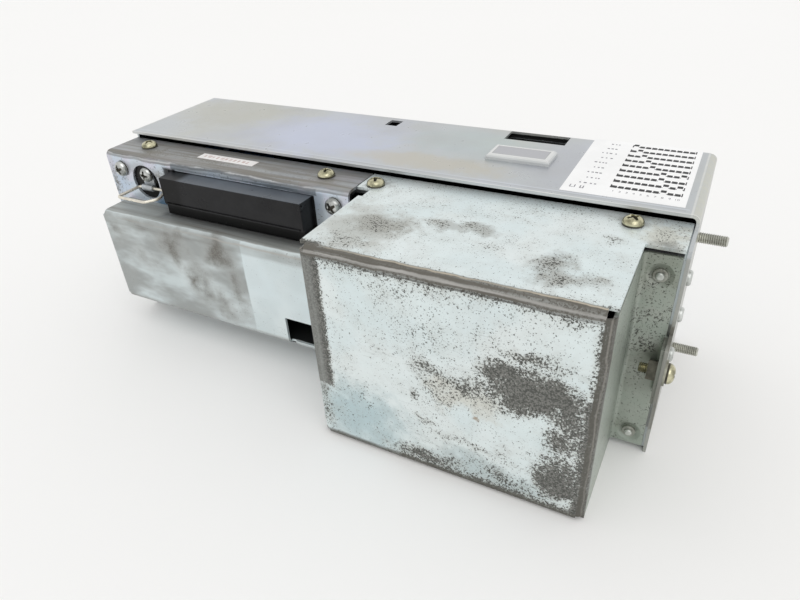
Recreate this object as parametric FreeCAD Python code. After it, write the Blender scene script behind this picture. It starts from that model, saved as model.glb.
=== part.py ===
import FreeCAD, Part
import math
import os

# A sheet-metal control unit: a shallow steel case with a deeper power box on its front right,
# a multi-way connector behind a wire bail, and a row of setting switches under its top cover.
# Origin at the middle of the footprint, on the surface that it stands on. +X runs to the end
# that carries the mounting studs, -Y is the front, +Z is up. Millimetres.

V = FreeCAD.Vector

# Overall sizes
unit_length = 270.0        # top cover's left edge to the outer face of the end plate
unit_height = 94.5         # standing surface to the top face of the cover
cover_depth = 64.5         # front edge of the cover to the back face of its lip
face_step = 19.6           # connector face in front of the cover's front edge
box_step = 43.9            # front of the power box in front of the connector face
stud_reach = 10.0          # mounting studs beyond the end plate
screw_head_height = 2.2
front_head_height = 2.9    # taller heads on the flanges, the connector face and the ear

# Sheet metal
sheet = 1.2
bend = 1.6                 # inside radius of every bend
outer_bend = bend + sheet
hole_clearance = 0.2       # screw holes, on the radius
thread_clearance = 0.05    # tapped and clinched holes, on the radius
seam = 0.6                 # gap between neighbouring covers

# Places that everything hangs on
left_x = -(unit_length + stud_reach) / 2
right_x = left_x + unit_length
depth_all = cover_depth + face_step + box_step + screw_head_height
back_y = depth_all / 2 - screw_head_height
cover_front_y = back_y - cover_depth
face_y = cover_front_y - face_step
box_front_y = face_y - box_step
top_z = unit_height
flange_drop = 3.6          # front flanges lie this far under the cover's top face
flange_z = top_z - flange_drop
flange_tuck = 1.5          # front flanges run this far back under the cover
flange_back_y = cover_front_y + flange_tuck
shelf_z = flange_z - sheet
wall_y = face_y + sheet    # front of the chassis wall, behind the face sheets
chassis_left_x = left_x + 1.0
inner_right_x = right_x - sheet

ledge_z = flange_z - 23.4   # top of the lower front cover, which the connector stands over

# Power box
box_width = unit_length * 121 / 300
box_right_x = right_x - 14.3
box_left_x = box_right_x - box_width
box_tab_reach = 4.9        # top tab beyond the box's left wall
box_tab_front = 12.8       # its front edge, in front of the cover's front edge
box_notch_front_y = face_y - 0.8
power_gate = 6.0           # frame left round the hole between the case and the box
power_gate_bottom_z = 10.0
box_flange_gap = 0.9       # right flange short of the end plate
box_flange_head = 1.1      # gap between the right flange and the top sheet

# Connector face
frame_left_x = left_x + 1.1
frame_right_x = box_left_x - 5.5
frame_bottom_z = ledge_z - 7.5
opening_left_x = frame_left_x + 40.4
opening_right_x = frame_right_x - 17.0
opening_bottom_z = ledge_z + 0.4
opening_top_z = flange_z - 4.1
hook_hole_x = frame_left_x + 23.4
hook_hole_z = flange_z - 13.0
hook_hole_r = 8.5
notch_depth = 5.0          # corner cut out of the case between the face and the power box
notch_bottom_z = flange_z - 9.0

# Lower front cover
lower_bottom_z = 17.4
lower_height = ledge_z - lower_bottom_z
lower_depth = 17.1
lower_front_y = face_y - lower_depth
lower_left_x = left_x + 6.2
lower_foot = 9.0           # mounting flange under the lower cover
window_left_x = box_left_x - 34.8      # cable window at its lower right
window_slot = 4.0
window_bottom_z = lower_bottom_z + 3.0
window_top_z = lower_bottom_z + 14.8

# Ear of the end plate, with the clamping screw through it
ear_reach = 10.0
ear_bottom_z = 32.0
ear_top_z = 58.0
ear_corner = 3.0
clamp_y = face_y - 5.0
clamp_z = 45.0
tab_inset = 1.0

# Fasteners
m4_r = 2.0
m3_r = 1.5
pan_r = 3.8
pan_round = 1.1
cross_width = 1.0
cross_length = 4.4
cross_depth = 1.1
screw_length = 6.0
nut_flats = 7.0
nut_height = 3.2
clamp_length = 8.6
washer_r = 4.8
washer_thick = 0.8
stud_head_r = 3.4
stud_shoulder = 0.2        # clinched shoulder in the plate, larger than the stud on the radius
stud_head_height = 1.2
stud_tip_chamfer = 0.5
rivet_r = 1.6
rivet_head_r = 3.0
rivet_head_height = 1.6
rivet_round = 1.1
rivet_tail_r = 2.3
rivet_tail_height = 1.2

flange_screw_places = [(frame_left_x + 18.0, cover_front_y - 7.5),
                       (frame_right_x - 17.7, cover_front_y - 7.9),
                       (box_left_x + 1.6, cover_front_y - 8.8),
                       (box_right_x - 6.4, cover_front_y - 6.5)]
front_screw_places = [(frame_left_x + 9.0, flange_z - 7.8), (frame_right_x - 7.3, flange_z - 7.1)]
lower_screw_xs = [lower_left_x + 15.8, lower_left_x + 73.8, box_left_x - 12.8]
lower_screw_z = lower_bottom_z - lower_foot / 2 - 0.4
lower_screw_head_r = 3.0
back_screw_xs = [left_x + 22.0, (left_x + right_x) / 2, right_x - 22.0]
lip_height = 12.0
back_screw_z = top_z - lip_height / 2 - 0.8
box_stud_places = [(right_x - 8.0, flange_z - 10.6), (right_x - 7.8, 8.6)]
box_stud_reach = 1.5
dimple_r = 4.6             # dished seats that the box studs stand in
dimple_floor_r = 2.9
dimple_depth = 0.8
box_collar_r = 2.6
box_collar_height = 0.4    # collar in front of the face
mount_stud_places = [(cover_front_y + 4.6, top_z - 10.1), (cover_front_y + 14.6, 29.0)]
rivet_y = cover_front_y + 0.6
rivet_zs = [top_z * share for share in (20 / 27, 4 / 7, 10 / 27)]
rivet_tab_width = 13.0
rivet_tab_top_z = top_z - 16.5

# Holes and labels in the top cover
dip_window_x, dip_window_y = right_x - 74.3, back_y - 7.9
dip_window_width, dip_window_depth = 27.6, 10.8
peep_x, peep_y, peep_width, peep_depth = dip_window_x - 72.3, back_y - 9.7, 6.4, 7.6
pad_x, pad_y, pad_width, pad_depth, pad_height = dip_window_x + 0.7, dip_window_y - 25.1, 27.2, 13.5, 2.2
pad_bevel = 1.0
label_thick = 0.15
label_left_x, label_width = right_x - 50.0, 44.2
label_front_y, label_depth = cover_front_y + 4.7, cover_depth - 5.5
tag_left_x, tag_width = frame_left_x + 51.8, 32.4
tag_front_y, tag_depth = cover_front_y - 10.6, 5.4

# Connector
plug_left_x = opening_left_x + 2.7
plug_right_x = opening_right_x - 1.3
plug_top_z = opening_top_z - 0.4
plug_reach = 7.6           # housing in front of the connector face
plug_wall = 1.6
cap_bottom_z = opening_bottom_z + 5.5
cap_thick = 1.0
cap_corner = 0.6
cap_lip = 0.6
cap_lip_inset = 1.5
cap_spigot = 2.5
cap_fit = 0.05
cap_wall = 1.0
plate_fit = 0.3            # housing inside the opening of the face
neck_recess = 0.3
neck_left_x = opening_left_x + plate_fit
neck_right_x = opening_right_x - plate_fit
flange_thick = 2.0
flange_left_x = frame_left_x + 12.9
flange_right_x = frame_right_x - 11.8
flange_bottom_z = opening_bottom_z + 0.5
flange_top_z = opening_top_z + 0.8
flange_room = 0.5          # round the flange in the chassis wall
flange_room_below = 3.0
tail_depth = 5.0
tail_inset_x, tail_inset_z = 2.0, 1.0
contact_pitch = 2.54
contact_count = round((plug_right_x - plug_left_x - 15.3) / contact_pitch)
contact_size = 0.64
contact_tip = 5.0          # pins in front of the chassis wall
contact_drop, contact_drop_step = 1.5, 2.0
contact_rows_z = (cap_bottom_z + 4.2, cap_bottom_z + 8.8)

# Wire bail
bail_wire_r = 0.7
bail_fit = 0.08
bail_side_gap = 0.1
bail_axis_y = face_y - bail_wire_r - bail_side_gap
bail_axis_z = hook_hole_z - 2.3
strap_thick = 0.8
strap_width = 6.8
strap_corner = 3.2
strap_x = hook_hole_x + 1.5
hook_screw_z = hook_hole_z + 4.1
hook_screw_head_height = 2.5
hook_screw_r = 3.6
knuckle_wall = 0.75
bail_left_x, bail_right_x = strap_x - 5.6, strap_x + 15.6
bail_reach = 14.0

# Setting switches
way_count = 10
way_pitch = 2.54
dip_width, dip_depth, dip_height = 27.2, 9.9, 5.6
slot_length, slot_width, slot_depth = 3.8, 1.5, 3.0
slider_size = 1.3
slider_rise = 1.1
slider_fit = 0.1
slider_foot = 2.0
switch_board_thick = 1.6
switch_board_top = top_z - 9.4
switch_board_width, switch_board_depth = 42.0, 20.0
switch_board_offset = 5.5  # middle of the switch board in front of the switches
dip_top_z = switch_board_top + dip_height

# Boards and what they carry
board_thick = 1.6
main_board_z = ledge_z - 5.5
main_board_left_x, main_board_right_x = left_x + 8.0, right_x - 18.0
main_board_front_y, main_board_back_y = wall_y + 5.4, back_y - 8.9
main_share = (main_board_right_x - main_board_left_x) / 244.0
pillar_r = 2.75
pillar_spigot_r = 1.9
pillar_screw_r = 1.25
pillar_screw_head_r = 2.4
pillar_screw_head_height = 1.6
pillar_places = [(x, y) for x in (main_board_left_x + 5.0, (main_board_left_x + main_board_right_x) / 2,
                                  main_board_right_x - 5.0)
                 for y in (main_board_front_y + 5.1, main_board_back_y - 5.0)]
header_pins = 12
header_offset = 12.0       # pin header in front of the switches
header_depth = 2.5
header_pin_width, header_pin_depth, header_pin_height = 1.2, 3.2, 3.0
processor = dict(x=main_board_left_x + 72.0 * main_share, y=main_board_back_y - 29.0,
                 width=28.0, depth=28.0, height=3.4)
memory = dict(x=main_board_left_x + 117.0 * main_share, y=main_board_back_y - 29.0,
              width=36.0, depth=14.6, height=4.6)
relay_xs = [main_board_left_x + 20.0 * main_share, main_board_left_x + 40.0 * main_share]
relay_width, relay_depth, relay_height = 15.0, 19.0, 15.5
relay_y = main_board_back_y - 24.0
terminal_x, terminal_y = main_board_right_x - 52.0 * main_share, main_board_back_y - 34.0
terminal_width, terminal_depth, terminal_height = 50.0, 12.0, 15.0
terminal_ways = 8
terminal_well_r, terminal_well_depth = 1.9, 4.0

# Power supply
power_board_z = 9.2
power_left_x, power_right_x = left_x + 19.0, box_left_x - 22.8
power_front_y, power_back_y = wall_y + 10.0, back_y - 12.9
power_width, power_depth = power_right_x - power_left_x, power_back_y - power_front_y
power_room = main_board_z - power_board_z - board_thick     # height between the two boards
short_pillar_places = [(x, y) for x in (power_left_x + 5.0, power_right_x - 5.0)
                       for y in (power_front_y + 5.0, power_back_y - 5.0)]
capacitor_r, capacitor_height = power_depth * 11 / 60, power_room - 15.2
capacitor_places = [(power_left_x + power_width / 5, power_front_y + power_depth * share)
                    for share in (3 / 10, 11 / 15)]
groove_rise, groove_height, groove_depth = 3.0, 1.2, 0.7
sink_x, sink_y = power_left_x + power_width * 22 / 35, power_back_y - 16.0
sink_width, sink_depth, sink_height = power_width * 10 / 21, 16.0, power_room - 19.2
sink_fins, sink_fin, sink_base = 8, 1.5, 3.0
regulator_width, regulator_depth, regulator_height = 10.4, 4.6, 15.5
fuse_x, fuse_y = power_left_x + power_width * 17 / 21, power_front_y + 18.0
fuse_r, fuse_length = 2.6, 20.0
clip_width, clip_rise, clip_wall = 6.0, 3.0, 1.0
clip_share = 0.8           # how far up the fuse the clips reach
core_x, core_y = (box_left_x + box_right_x) / 2, box_front_y + 26.1
core_width, core_depth, core_height = 66.0, 30.0, 55.0
core_leg = 11.0
core_window = core_width / 2 - 2 * core_leg
winding_fit = 0.4
winding_bulge = 8.0        # winding in front of the core and behind it
bracket_thick = 1.5
bracket_foot = 9.0
bracket_width_share = 0.6


def slab(x0, x1, y0, y1, z0, z1):
    return Part.makeBox(x1 - x0, y1 - y0, z1 - z0, V(x0, y0, z0))


def block(x, y, z0, width, depth, height):
    return slab(x - width / 2, x + width / 2, y - depth / 2, y + depth / 2, z0, z0 + height)


def rod(x, y, z, direction, radius, length):
    return Part.makeCylinder(radius, length, V(x, y, z), direction)


def aim(shape, point, direction):
    # Turns a shape that was built along +Z so that it points along direction, then moves it to point.
    turned = shape.copy()
    turned.Placement = FreeCAD.Placement(point, FreeCAD.Rotation(V(0, 0, 1), direction))
    return turned


def fuse(shapes):
    joined = shapes[0].multiFuse(shapes[1:]) if len(shapes) > 1 else shapes[0]
    return joined.removeSplitter()


def outline(corners, place):
    # Closed wire through (a, b, radius) corners, each rounded to its radius.
    points = [V(a, b, 0) for a, b, _ in corners]
    starts, ends, middles = [], [], []
    for i, (_, _, radius) in enumerate(corners):
        corner = points[i]
        back = (points[i - 1] - corner).normalize()
        ahead = (points[(i + 1) % len(points)] - corner).normalize()
        half = back.getAngle(ahead) / 2
        reach = radius / math.tan(half)
        starts.append(corner + back * reach)
        ends.append(corner + ahead * reach)
        middles.append(corner + (back + ahead).normalize() * (radius / math.sin(half) - radius))
    edges = []
    for i, (_, _, radius) in enumerate(corners):
        if radius > 0:
            edges.append(Part.Arc(place(starts[i]), place(middles[i]), place(ends[i])).toShape())
        following = starts[(i + 1) % len(points)]
        edges.append(Part.makeLine(place(ends[i]), place(following)))
    return Part.Wire(edges)


def prism(corners, axis, start, length):
    # A rounded outline in the plane across axis, extruded along it.
    place = {
        "x": lambda p: V(start, p.x, p.y),
        "y": lambda p: V(p.x, start, p.y),
        "z": lambda p: V(p.x, p.y, start),
    }[axis]
    along = {"x": V(length, 0, 0), "y": V(0, length, 0), "z": V(0, 0, length)}[axis]
    return Part.Face(outline(corners, place)).extrude(along)


def bent(path, side, axis, start, length):
    # Sheet that follows the path with its thickness on the left (side 1) or right (side -1) of it.
    steps = [(V(b[0], b[1], 0) - V(a[0], a[1], 0)).normalize() for a, b in zip(path, path[1:])]
    normals = [V(-s.y, s.x, 0) * side for s in steps]
    near, far = [], []
    for i, (a, b) in enumerate(path):
        if i in (0, len(path) - 1):
            normal = normals[0] if i == 0 else normals[-1]
            near.append((a, b, 0.0))
            far.append((a + normal.x * sheet, b + normal.y * sheet, 0.0))
            continue
        middle = normals[i - 1] + normals[i]
        offset = middle * (sheet * 2 / middle.Length ** 2)
        inside = steps[i - 1].cross(steps[i]).z * side > 0
        near.append((a, b, outer_bend if inside else bend))
        far.append((a + offset.x, b + offset.y, bend if inside else outer_bend))
    return prism(near + far[::-1], axis, start, length)


def pan_screw(point, direction, head_r=pan_r, shank_r=m4_r, length=screw_length,
              head_height=screw_head_height):
    # Cross-recess pan head standing on the surface at point, with its shank behind it.
    head = Part.makeCylinder(head_r, head_height)
    rim = [e for e in head.Edges if isinstance(e.Curve, Part.Circle) and e.CenterOfMass.z > head_height / 2]
    head = head.makeFillet(min(pan_round, head_height / 2), rim)
    floor_z = head_height - cross_depth
    for width, depth in ((cross_length, cross_width), (cross_width, cross_length)):
        head = head.cut(block(0, 0, floor_z, width, depth, cross_depth))
    shank = Part.makeCylinder(shank_r, length, V(0, 0, -length))
    return aim(fuse([head, shank]), point, direction)


def top_cover():
    top = bent([(cover_front_y, top_z), (back_y, top_z), (back_y, top_z - lip_height)], -1,
               "x", left_x, unit_length - outer_bend)
    end = bent([(left_x, top_z), (right_x, top_z), (right_x, 0.0)], -1,
               "y", cover_front_y, cover_depth - outer_bend)
    front = slab(inner_right_x, right_x, face_y, cover_front_y, 0, flange_z)
    ear = prism([(face_y, ear_bottom_z, 0.0), (face_y - ear_reach, ear_bottom_z, ear_corner),
                 (face_y - ear_reach, ear_top_z, ear_corner), (face_y, ear_top_z, 0.0)],
                "x", inner_right_x, sheet)
    shape = fuse([top, end, front, ear])
    under = top_z - 2 * sheet
    cuts = [
        block(peep_x, peep_y, under, peep_width, peep_depth, 3 * sheet),
        block(dip_window_x, dip_window_y, under, dip_window_width, dip_window_depth, 3 * sheet),
        rod(inner_right_x - sheet, clamp_y, clamp_z, V(1, 0, 0), m4_r + hole_clearance, 3 * sheet),
    ]
    for y, z in mount_stud_places:
        cuts.append(rod(inner_right_x - sheet, y, z, V(1, 0, 0),
                        m4_r + stud_shoulder + thread_clearance, 3 * sheet))
    for z in rivet_zs:
        cuts.append(rod(inner_right_x - sheet, rivet_y, z, V(1, 0, 0), rivet_r + thread_clearance, 3 * sheet))
    for x in back_screw_xs:
        cuts.append(rod(x, back_y - 2 * sheet, back_screw_z, V(0, 1, 0), m4_r + hole_clearance, 3 * sheet))
    return shape.cut(cuts)


def chassis():
    inside_back_y = back_y - sheet
    length = inner_right_x - chassis_left_x
    body = bent([(flange_back_y, shelf_z), (wall_y, shelf_z), (wall_y, 0.0), (inside_back_y, 0.0),
                 (inside_back_y, top_z - outer_bend - seam)], 1, "x", chassis_left_x, length)
    left = slab(chassis_left_x, chassis_left_x + sheet, wall_y + outer_bend, inside_back_y - outer_bend,
                sheet / 2, shelf_z - sheet)
    left_top = slab(chassis_left_x, chassis_left_x + sheet, flange_back_y + seam / 2,
                    inside_back_y - outer_bend, shelf_z - 2 * sheet, top_z - sheet)
    tab = slab(inner_right_x - sheet, inner_right_x, rivet_y - rivet_tab_width / 2,
               rivet_y + rivet_tab_width / 2, sheet / 2, rivet_tab_top_z)
    shape = fuse([body, left, left_top, tab])
    behind = wall_y + outer_bend + sheet
    cuts = [
        slab(flange_left_x - flange_room, flange_right_x + flange_room, wall_y - sheet, behind,
             flange_bottom_z - flange_room_below, shelf_z - sheet),
        slab(box_left_x + power_gate, box_right_x - power_gate, wall_y - sheet, behind,
             power_gate_bottom_z, shelf_z - power_gate),
        slab(frame_right_x, box_left_x, wall_y - sheet, wall_y + notch_depth, notch_bottom_z, flange_z),
    ]
    for x, y in flange_screw_places:
        cuts.append(rod(x, y, shelf_z - 2 * sheet, V(0, 0, 1),
                        m4_r + thread_clearance, 3 * sheet))
    for x, z in front_screw_places:
        cuts.append(rod(x, wall_y - sheet, z, V(0, 1, 0), m4_r + thread_clearance, 3 * sheet))
    for x in lower_screw_xs:
        cuts.append(rod(x, wall_y - sheet, lower_screw_z, V(0, 1, 0), m3_r + thread_clearance, 3 * sheet))
    for x, z in box_stud_places:
        cuts.append(rod(x, wall_y - sheet, z, V(0, 1, 0), m3_r + thread_clearance, 3 * sheet))
    for x in back_screw_xs:
        cuts.append(rod(x, inside_back_y - 2 * sheet, back_screw_z, V(0, 1, 0),
                        m4_r + thread_clearance, 3 * sheet))
    for z in rivet_zs:
        cuts.append(rod(inner_right_x - 2 * sheet, rivet_y, z, V(1, 0, 0),
                        rivet_r + thread_clearance, 3 * sheet))
    for x, y in pillar_places + short_pillar_places:
        cuts.append(rod(x, y, -sheet, V(0, 0, 1), pillar_spigot_r + thread_clearance, 3 * sheet))
    return shape.cut(cuts)


def front_frame():
    shape = bent([(flange_back_y, flange_z), (face_y, flange_z), (face_y, frame_bottom_z)], 1,
                 "x", frame_left_x, frame_right_x - frame_left_x)
    through_y = face_y - sheet
    cuts = [
        slab(opening_left_x, opening_right_x, through_y, through_y + 3 * sheet,
             opening_bottom_z, opening_top_z),
        rod(hook_hole_x, through_y, hook_hole_z, V(0, 1, 0), hook_hole_r, 3 * sheet),
    ]
    for x, y in flange_screw_places[:2]:
        cuts.append(rod(x, y, flange_z - 2 * sheet, V(0, 0, 1),
                        m4_r + hole_clearance, 3 * sheet))
    for x, z in front_screw_places:
        cuts.append(rod(x, through_y, z, V(0, 1, 0), m4_r + hole_clearance, 3 * sheet))
    return shape.cut(cuts)


def lower_front_cover():
    right_end_x = box_left_x - seam
    start_x = lower_left_x + outer_bend
    shell = bent([(face_y, ledge_z), (lower_front_y, ledge_z), (lower_front_y, lower_bottom_z),
                  (face_y, lower_bottom_z), (face_y, lower_bottom_z - lower_foot)], 1,
                 "x", start_x, right_end_x - start_x)
    side = bent([(lower_left_x, face_y), (lower_left_x, lower_front_y),
                 (start_x + sheet, lower_front_y)], 1,
                "z", lower_bottom_z + outer_bend, lower_height - 2 * outer_bend)
    shape = fuse([shell, side])
    front = lower_front_y - sheet
    cuts = [
        slab(window_left_x, window_left_x + window_slot, front, lower_front_y + outer_bend,
             lower_bottom_z - sheet, window_top_z),
        slab(window_left_x, right_end_x + sheet, front, lower_front_y + 1.5 * sheet,
             window_bottom_z, window_top_z),
    ]
    for x in lower_screw_xs:
        cuts.append(rod(x, face_y - sheet, lower_screw_z, V(0, 1, 0), m3_r + hole_clearance, 3 * sheet))
    return shape.cut(cuts)


def box_cover():
    inset = box_left_x + outer_bend
    width = box_width - 2 * outer_bend
    under = flange_z - sheet
    wrap = bent([(flange_back_y, flange_z), (box_front_y, flange_z), (box_front_y, 0.0),
                 (wall_y, 0.0)], 1, "x", inset, width)
    side_bottom = outer_bend
    side_top = under - seam / 2
    left_side = bent([(box_left_x, face_y), (box_left_x, box_front_y), (inset + sheet, box_front_y)], 1,
                     "z", side_bottom, flange_z - outer_bend - side_bottom)
    flange_end_x = inner_right_x - box_flange_gap
    right_side = bent([(box_right_x - outer_bend - sheet, box_front_y), (box_right_x, box_front_y),
                       (box_right_x, face_y), (flange_end_x, face_y)], 1,
                      "z", side_bottom, flange_z - outer_bend - side_bottom)
    right_side = right_side.cut(slab(box_right_x - sheet / 2, right_x, face_y - bend - sheet, wall_y + sheet,
                                     under - box_flange_head, top_z))
    tab_x = inner_right_x - sheet
    tab = bent([(box_right_x + outer_bend + sheet, face_y), (tab_x, face_y),
                (tab_x, face_y - ear_reach + tab_inset)], 1,
               "z", ear_bottom_z + tab_inset, ear_top_z - ear_bottom_z - 2 * tab_inset)
    tab_y = cover_front_y - box_tab_front
    tops = [
        slab(box_left_x, box_right_x, box_front_y + outer_bend, flange_back_y, under, flange_z),
        slab(box_left_x - box_tab_reach, inset, tab_y, flange_back_y, under, flange_z),
        slab(box_right_x - outer_bend, inner_right_x - box_flange_gap / 2, face_y, flange_back_y,
             under, flange_z),
    ]
    foot = slab(box_left_x, box_right_x, box_front_y + outer_bend, wall_y, 0, sheet)
    low_sides = [slab(x, x + sheet, box_front_y + outer_bend, face_y, sheet / 2, side_bottom)
                 for x in (box_left_x, box_right_x - sheet)]
    shape = fuse([wrap, left_side, right_side, tab, foot] + tops + low_sides)
    slit = seam / 2
    cuts = [
        slab(box_left_x - sheet, inset - sheet / 2, box_front_y + outer_bend, tab_y - seam, side_top, under),
        slab(box_right_x - outer_bend, box_right_x + slit, box_front_y + outer_bend, face_y - bend,
             side_top, under),
        slab(box_left_x - box_tab_reach - 1, box_left_x + sheet + seam, box_notch_front_y, tab_y,
             side_top - sheet, flange_z + sheet),
        rod(inner_right_x - 2 * sheet, clamp_y, clamp_z, V(1, 0, 0), m4_r + hole_clearance, 3 * sheet),
    ]
    for x, y in flange_screw_places[2:]:
        cuts.append(rod(x, y, flange_z - 2 * sheet, V(0, 0, 1),
                        m4_r + hole_clearance, 3 * sheet))
    for x, z in box_stud_places:
        cuts.append(rod(x, face_y - sheet, z, V(0, 1, 0), m3_r + hole_clearance, 3 * sheet))
        cuts.append(Part.makeCone(dimple_r, dimple_floor_r, dimple_depth, V(x, face_y, z), V(0, 1, 0)))
    return shape.cut(cuts)


def connector_housing():
    nose_front_y = face_y - plug_reach
    inside_bottom_z = opening_bottom_z + plate_fit
    flange = slab(flange_left_x, flange_right_x, wall_y, wall_y + flange_thick,
                  flange_bottom_z, flange_top_z)
    neck = slab(neck_left_x, neck_right_x, face_y + neck_recess, wall_y + flange_thick,
                inside_bottom_z, opening_top_z - plate_fit)
    nose = slab(plug_left_x, plug_right_x, nose_front_y, wall_y, inside_bottom_z, plug_top_z)
    tail = slab(plug_left_x + tail_inset_x, plug_right_x - tail_inset_x, wall_y,
                wall_y + flange_thick + tail_depth, cap_bottom_z + tail_inset_z, plug_top_z - tail_inset_z)
    cavity = slab(plug_left_x + plug_wall, plug_right_x - plug_wall, nose_front_y - 1, wall_y,
                  cap_bottom_z + plug_wall, plug_top_z - plug_wall)
    thread = rod(strap_x, wall_y - sheet, hook_screw_z, V(0, 1, 0), m3_r + thread_clearance,
                 flange_thick + 2 * sheet)
    shape = fuse([flange, neck, nose, tail]).cut([cavity, thread])
    return shape.cut(contact_pins(thread_clearance / 2))


def contact_pins(grow=0.0):
    # Two rows of square pins, from the cavity back to the tails that drop to the main board.
    size = contact_size + 2 * grow
    first_x = (plug_left_x + plug_right_x) / 2 - contact_pitch * (contact_count - 1) / 2
    tail_y = wall_y + flange_thick + tail_depth
    tip_y = wall_y - contact_tip
    pins = []
    for row, z in enumerate(contact_rows_z):
        drop_y = tail_y + contact_drop + contact_drop_step * row
        for way in range(contact_count):
            x = first_x + way * contact_pitch
            across = slab(x - size / 2, x + size / 2, tip_y, drop_y, z - size / 2, z + size / 2)
            down = slab(x - size / 2, x + size / 2, drop_y - size, drop_y,
                        main_board_z + board_thick, z + size / 2)
            pins.append(fuse([across, down]))
    return Part.Compound(pins)


def connector_cap():
    front = face_y - plug_reach - cap_thick
    face = prism([(plug_left_x, cap_bottom_z, cap_corner), (plug_left_x, plug_top_z, cap_corner),
                  (plug_right_x, plug_top_z, cap_corner), (plug_right_x, cap_bottom_z, cap_corner)],
                 "y", front, cap_thick)
    lip = slab(plug_left_x + cap_lip_inset, plug_right_x - cap_lip_inset, front - cap_lip,
               front + cap_thick / 2, cap_bottom_z + cap_lip / 2, cap_bottom_z + cap_lip * 3 / 2)
    gap = plug_wall + cap_fit
    spigot = slab(plug_left_x + gap, plug_right_x - gap, front + cap_thick / 2,
                  front + cap_thick + cap_spigot, cap_bottom_z + gap, plug_top_z - gap)
    gap += cap_wall
    hollow = slab(plug_left_x + gap, plug_right_x - gap, front + cap_thick,
                  front + cap_thick + 2 * cap_spigot, cap_bottom_z + gap, plug_top_z - gap)
    return fuse([face, lip, spigot]).cut(hollow)


def bail_bracket():
    strap = prism([(strap_x - strap_width / 2, bail_axis_z, 0.0),
                   (strap_x + strap_width / 2, bail_axis_z, 0.0),
                   (strap_x + strap_width / 2, hook_screw_z + strap_width / 2, strap_corner),
                   (strap_x - strap_width / 2, hook_screw_z + strap_width / 2, strap_corner)],
                  "y", wall_y - strap_thick, strap_thick)
    bore_r = bail_wire_r + bail_fit
    start_x = strap_x - strap_width / 2
    knuckle = rod(start_x, bail_axis_y, bail_axis_z, V(1, 0, 0), bore_r + knuckle_wall, strap_width)
    web = slab(start_x, start_x + strap_width, bail_axis_y, wall_y,
               bail_axis_z - strap_thick, bail_axis_z + bore_r + knuckle_wall)
    bore = rod(start_x - 1, bail_axis_y, bail_axis_z, V(1, 0, 0), bore_r, strap_width + 2)
    screw_hole = rod(strap_x, wall_y - 2 * strap_thick, hook_screw_z, V(0, 1, 0),
                     m3_r + thread_clearance, 3 * strap_thick)
    return fuse([strap, knuckle, web]).cut([bore, screw_hole])


def bail_wire():
    # Closed loop: the hinge bar runs through the bracket's knuckle, the rest stands out from the face.
    near = bail_axis_y
    far = bail_axis_y - bail_reach
    corners = [(bail_left_x, near, 1.8), (bail_right_x - 4.4, near, 5.0),
               (bail_right_x, near - 8.6, 4.0), (bail_right_x - 4.0, far, 3.0),
               (bail_left_x - 0.4, far, 2.0)]
    path = outline(corners, lambda p: V(p.x, p.y, bail_axis_z))
    pieces = []
    for edge in path.Edges:
        at = edge.valueAt(edge.FirstParameter)
        section = Part.Face(Part.Wire(Part.makeCircle(bail_wire_r, at, edge.tangentAt(edge.FirstParameter))))
        if isinstance(edge.Curve, Part.Circle):
            centre, axis = edge.Curve.Center, edge.Curve.Axis
            sweep = math.degrees(edge.Length / edge.Curve.Radius)
            if (at - centre).cross(edge.tangentAt(edge.FirstParameter)).dot(axis) < 0:
                sweep = -sweep
            pieces.append(section.revolve(centre, axis, sweep))
        else:
            pieces.append(section.extrude(edge.valueAt(edge.LastParameter) - at))
    return fuse(pieces)


def dip_places():
    first = dip_window_x - way_pitch * (way_count - 1) / 2
    return [first + way * way_pitch for way in range(way_count)]


def dip_switch_body():
    body = block(dip_window_x, dip_window_y, switch_board_top, dip_width, dip_depth, dip_height)
    cuts = [block(x, dip_window_y, dip_top_z - slot_depth, slot_width, slot_length, slot_depth + 1)
            for x in dip_places()]
    return body.cut(cuts)


def dip_slider(x):
    # At rest each slider is at the front end of its slot.
    width = slot_width - 2 * slider_fit
    foot_y = dip_window_y - slot_length / 2 + slider_fit + slider_foot / 2
    foot = block(x, foot_y, dip_top_z - slot_depth + slider_fit, width, slider_foot, slot_depth - slider_fit)
    knob = block(x, foot_y, dip_top_z, width, slider_size, slider_rise)
    return fuse([foot, knob])


def switch_board():
    return block(dip_window_x, dip_window_y - switch_board_offset, switch_board_top - switch_board_thick,
                 switch_board_width, switch_board_depth, switch_board_thick)


def switch_header():
    # Pin header that carries the switch board above the main board.
    low = main_board_z + board_thick
    high = switch_board_top - switch_board_thick
    first = dip_window_x - way_pitch * (header_pins - 1) / 2
    y = dip_window_y - header_offset
    body = block(dip_window_x, y, low, way_pitch * (header_pins + 2), header_depth, high - low)
    return fuse([body] + [block(first + pin * way_pitch, y, low, header_pin_width, header_pin_depth,
                                header_pin_height) for pin in range(header_pins)])


def main_board():
    board = slab(main_board_left_x, main_board_right_x, main_board_front_y, main_board_back_y,
                 main_board_z, main_board_z + board_thick)
    return board.cut([rod(x, y, main_board_z - 1, V(0, 0, 1), pillar_screw_r + thread_clearance,
                          board_thick + 2) for x, y in pillar_places])


def pillars(places, board_z):
    solids = []
    for x, y in places:
        post = rod(x, y, sheet, V(0, 0, 1), pillar_r, board_z - sheet)
        spigot = rod(x, y, 0, V(0, 0, 1), pillar_spigot_r, sheet)
        bore = rod(x, y, board_z - screw_length, V(0, 0, 1), pillar_screw_r + thread_clearance,
                   screw_length + 1)
        solids.append(fuse([post, spigot]).cut(bore))
    return Part.Compound(solids)


def pillar_screws(places, board_z):
    return Part.Compound([pan_screw(V(x, y, board_z + board_thick), V(0, 0, 1), pillar_screw_head_r,
                                    pillar_screw_r, screw_length, pillar_screw_head_height)
                          for x, y in places])


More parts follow.
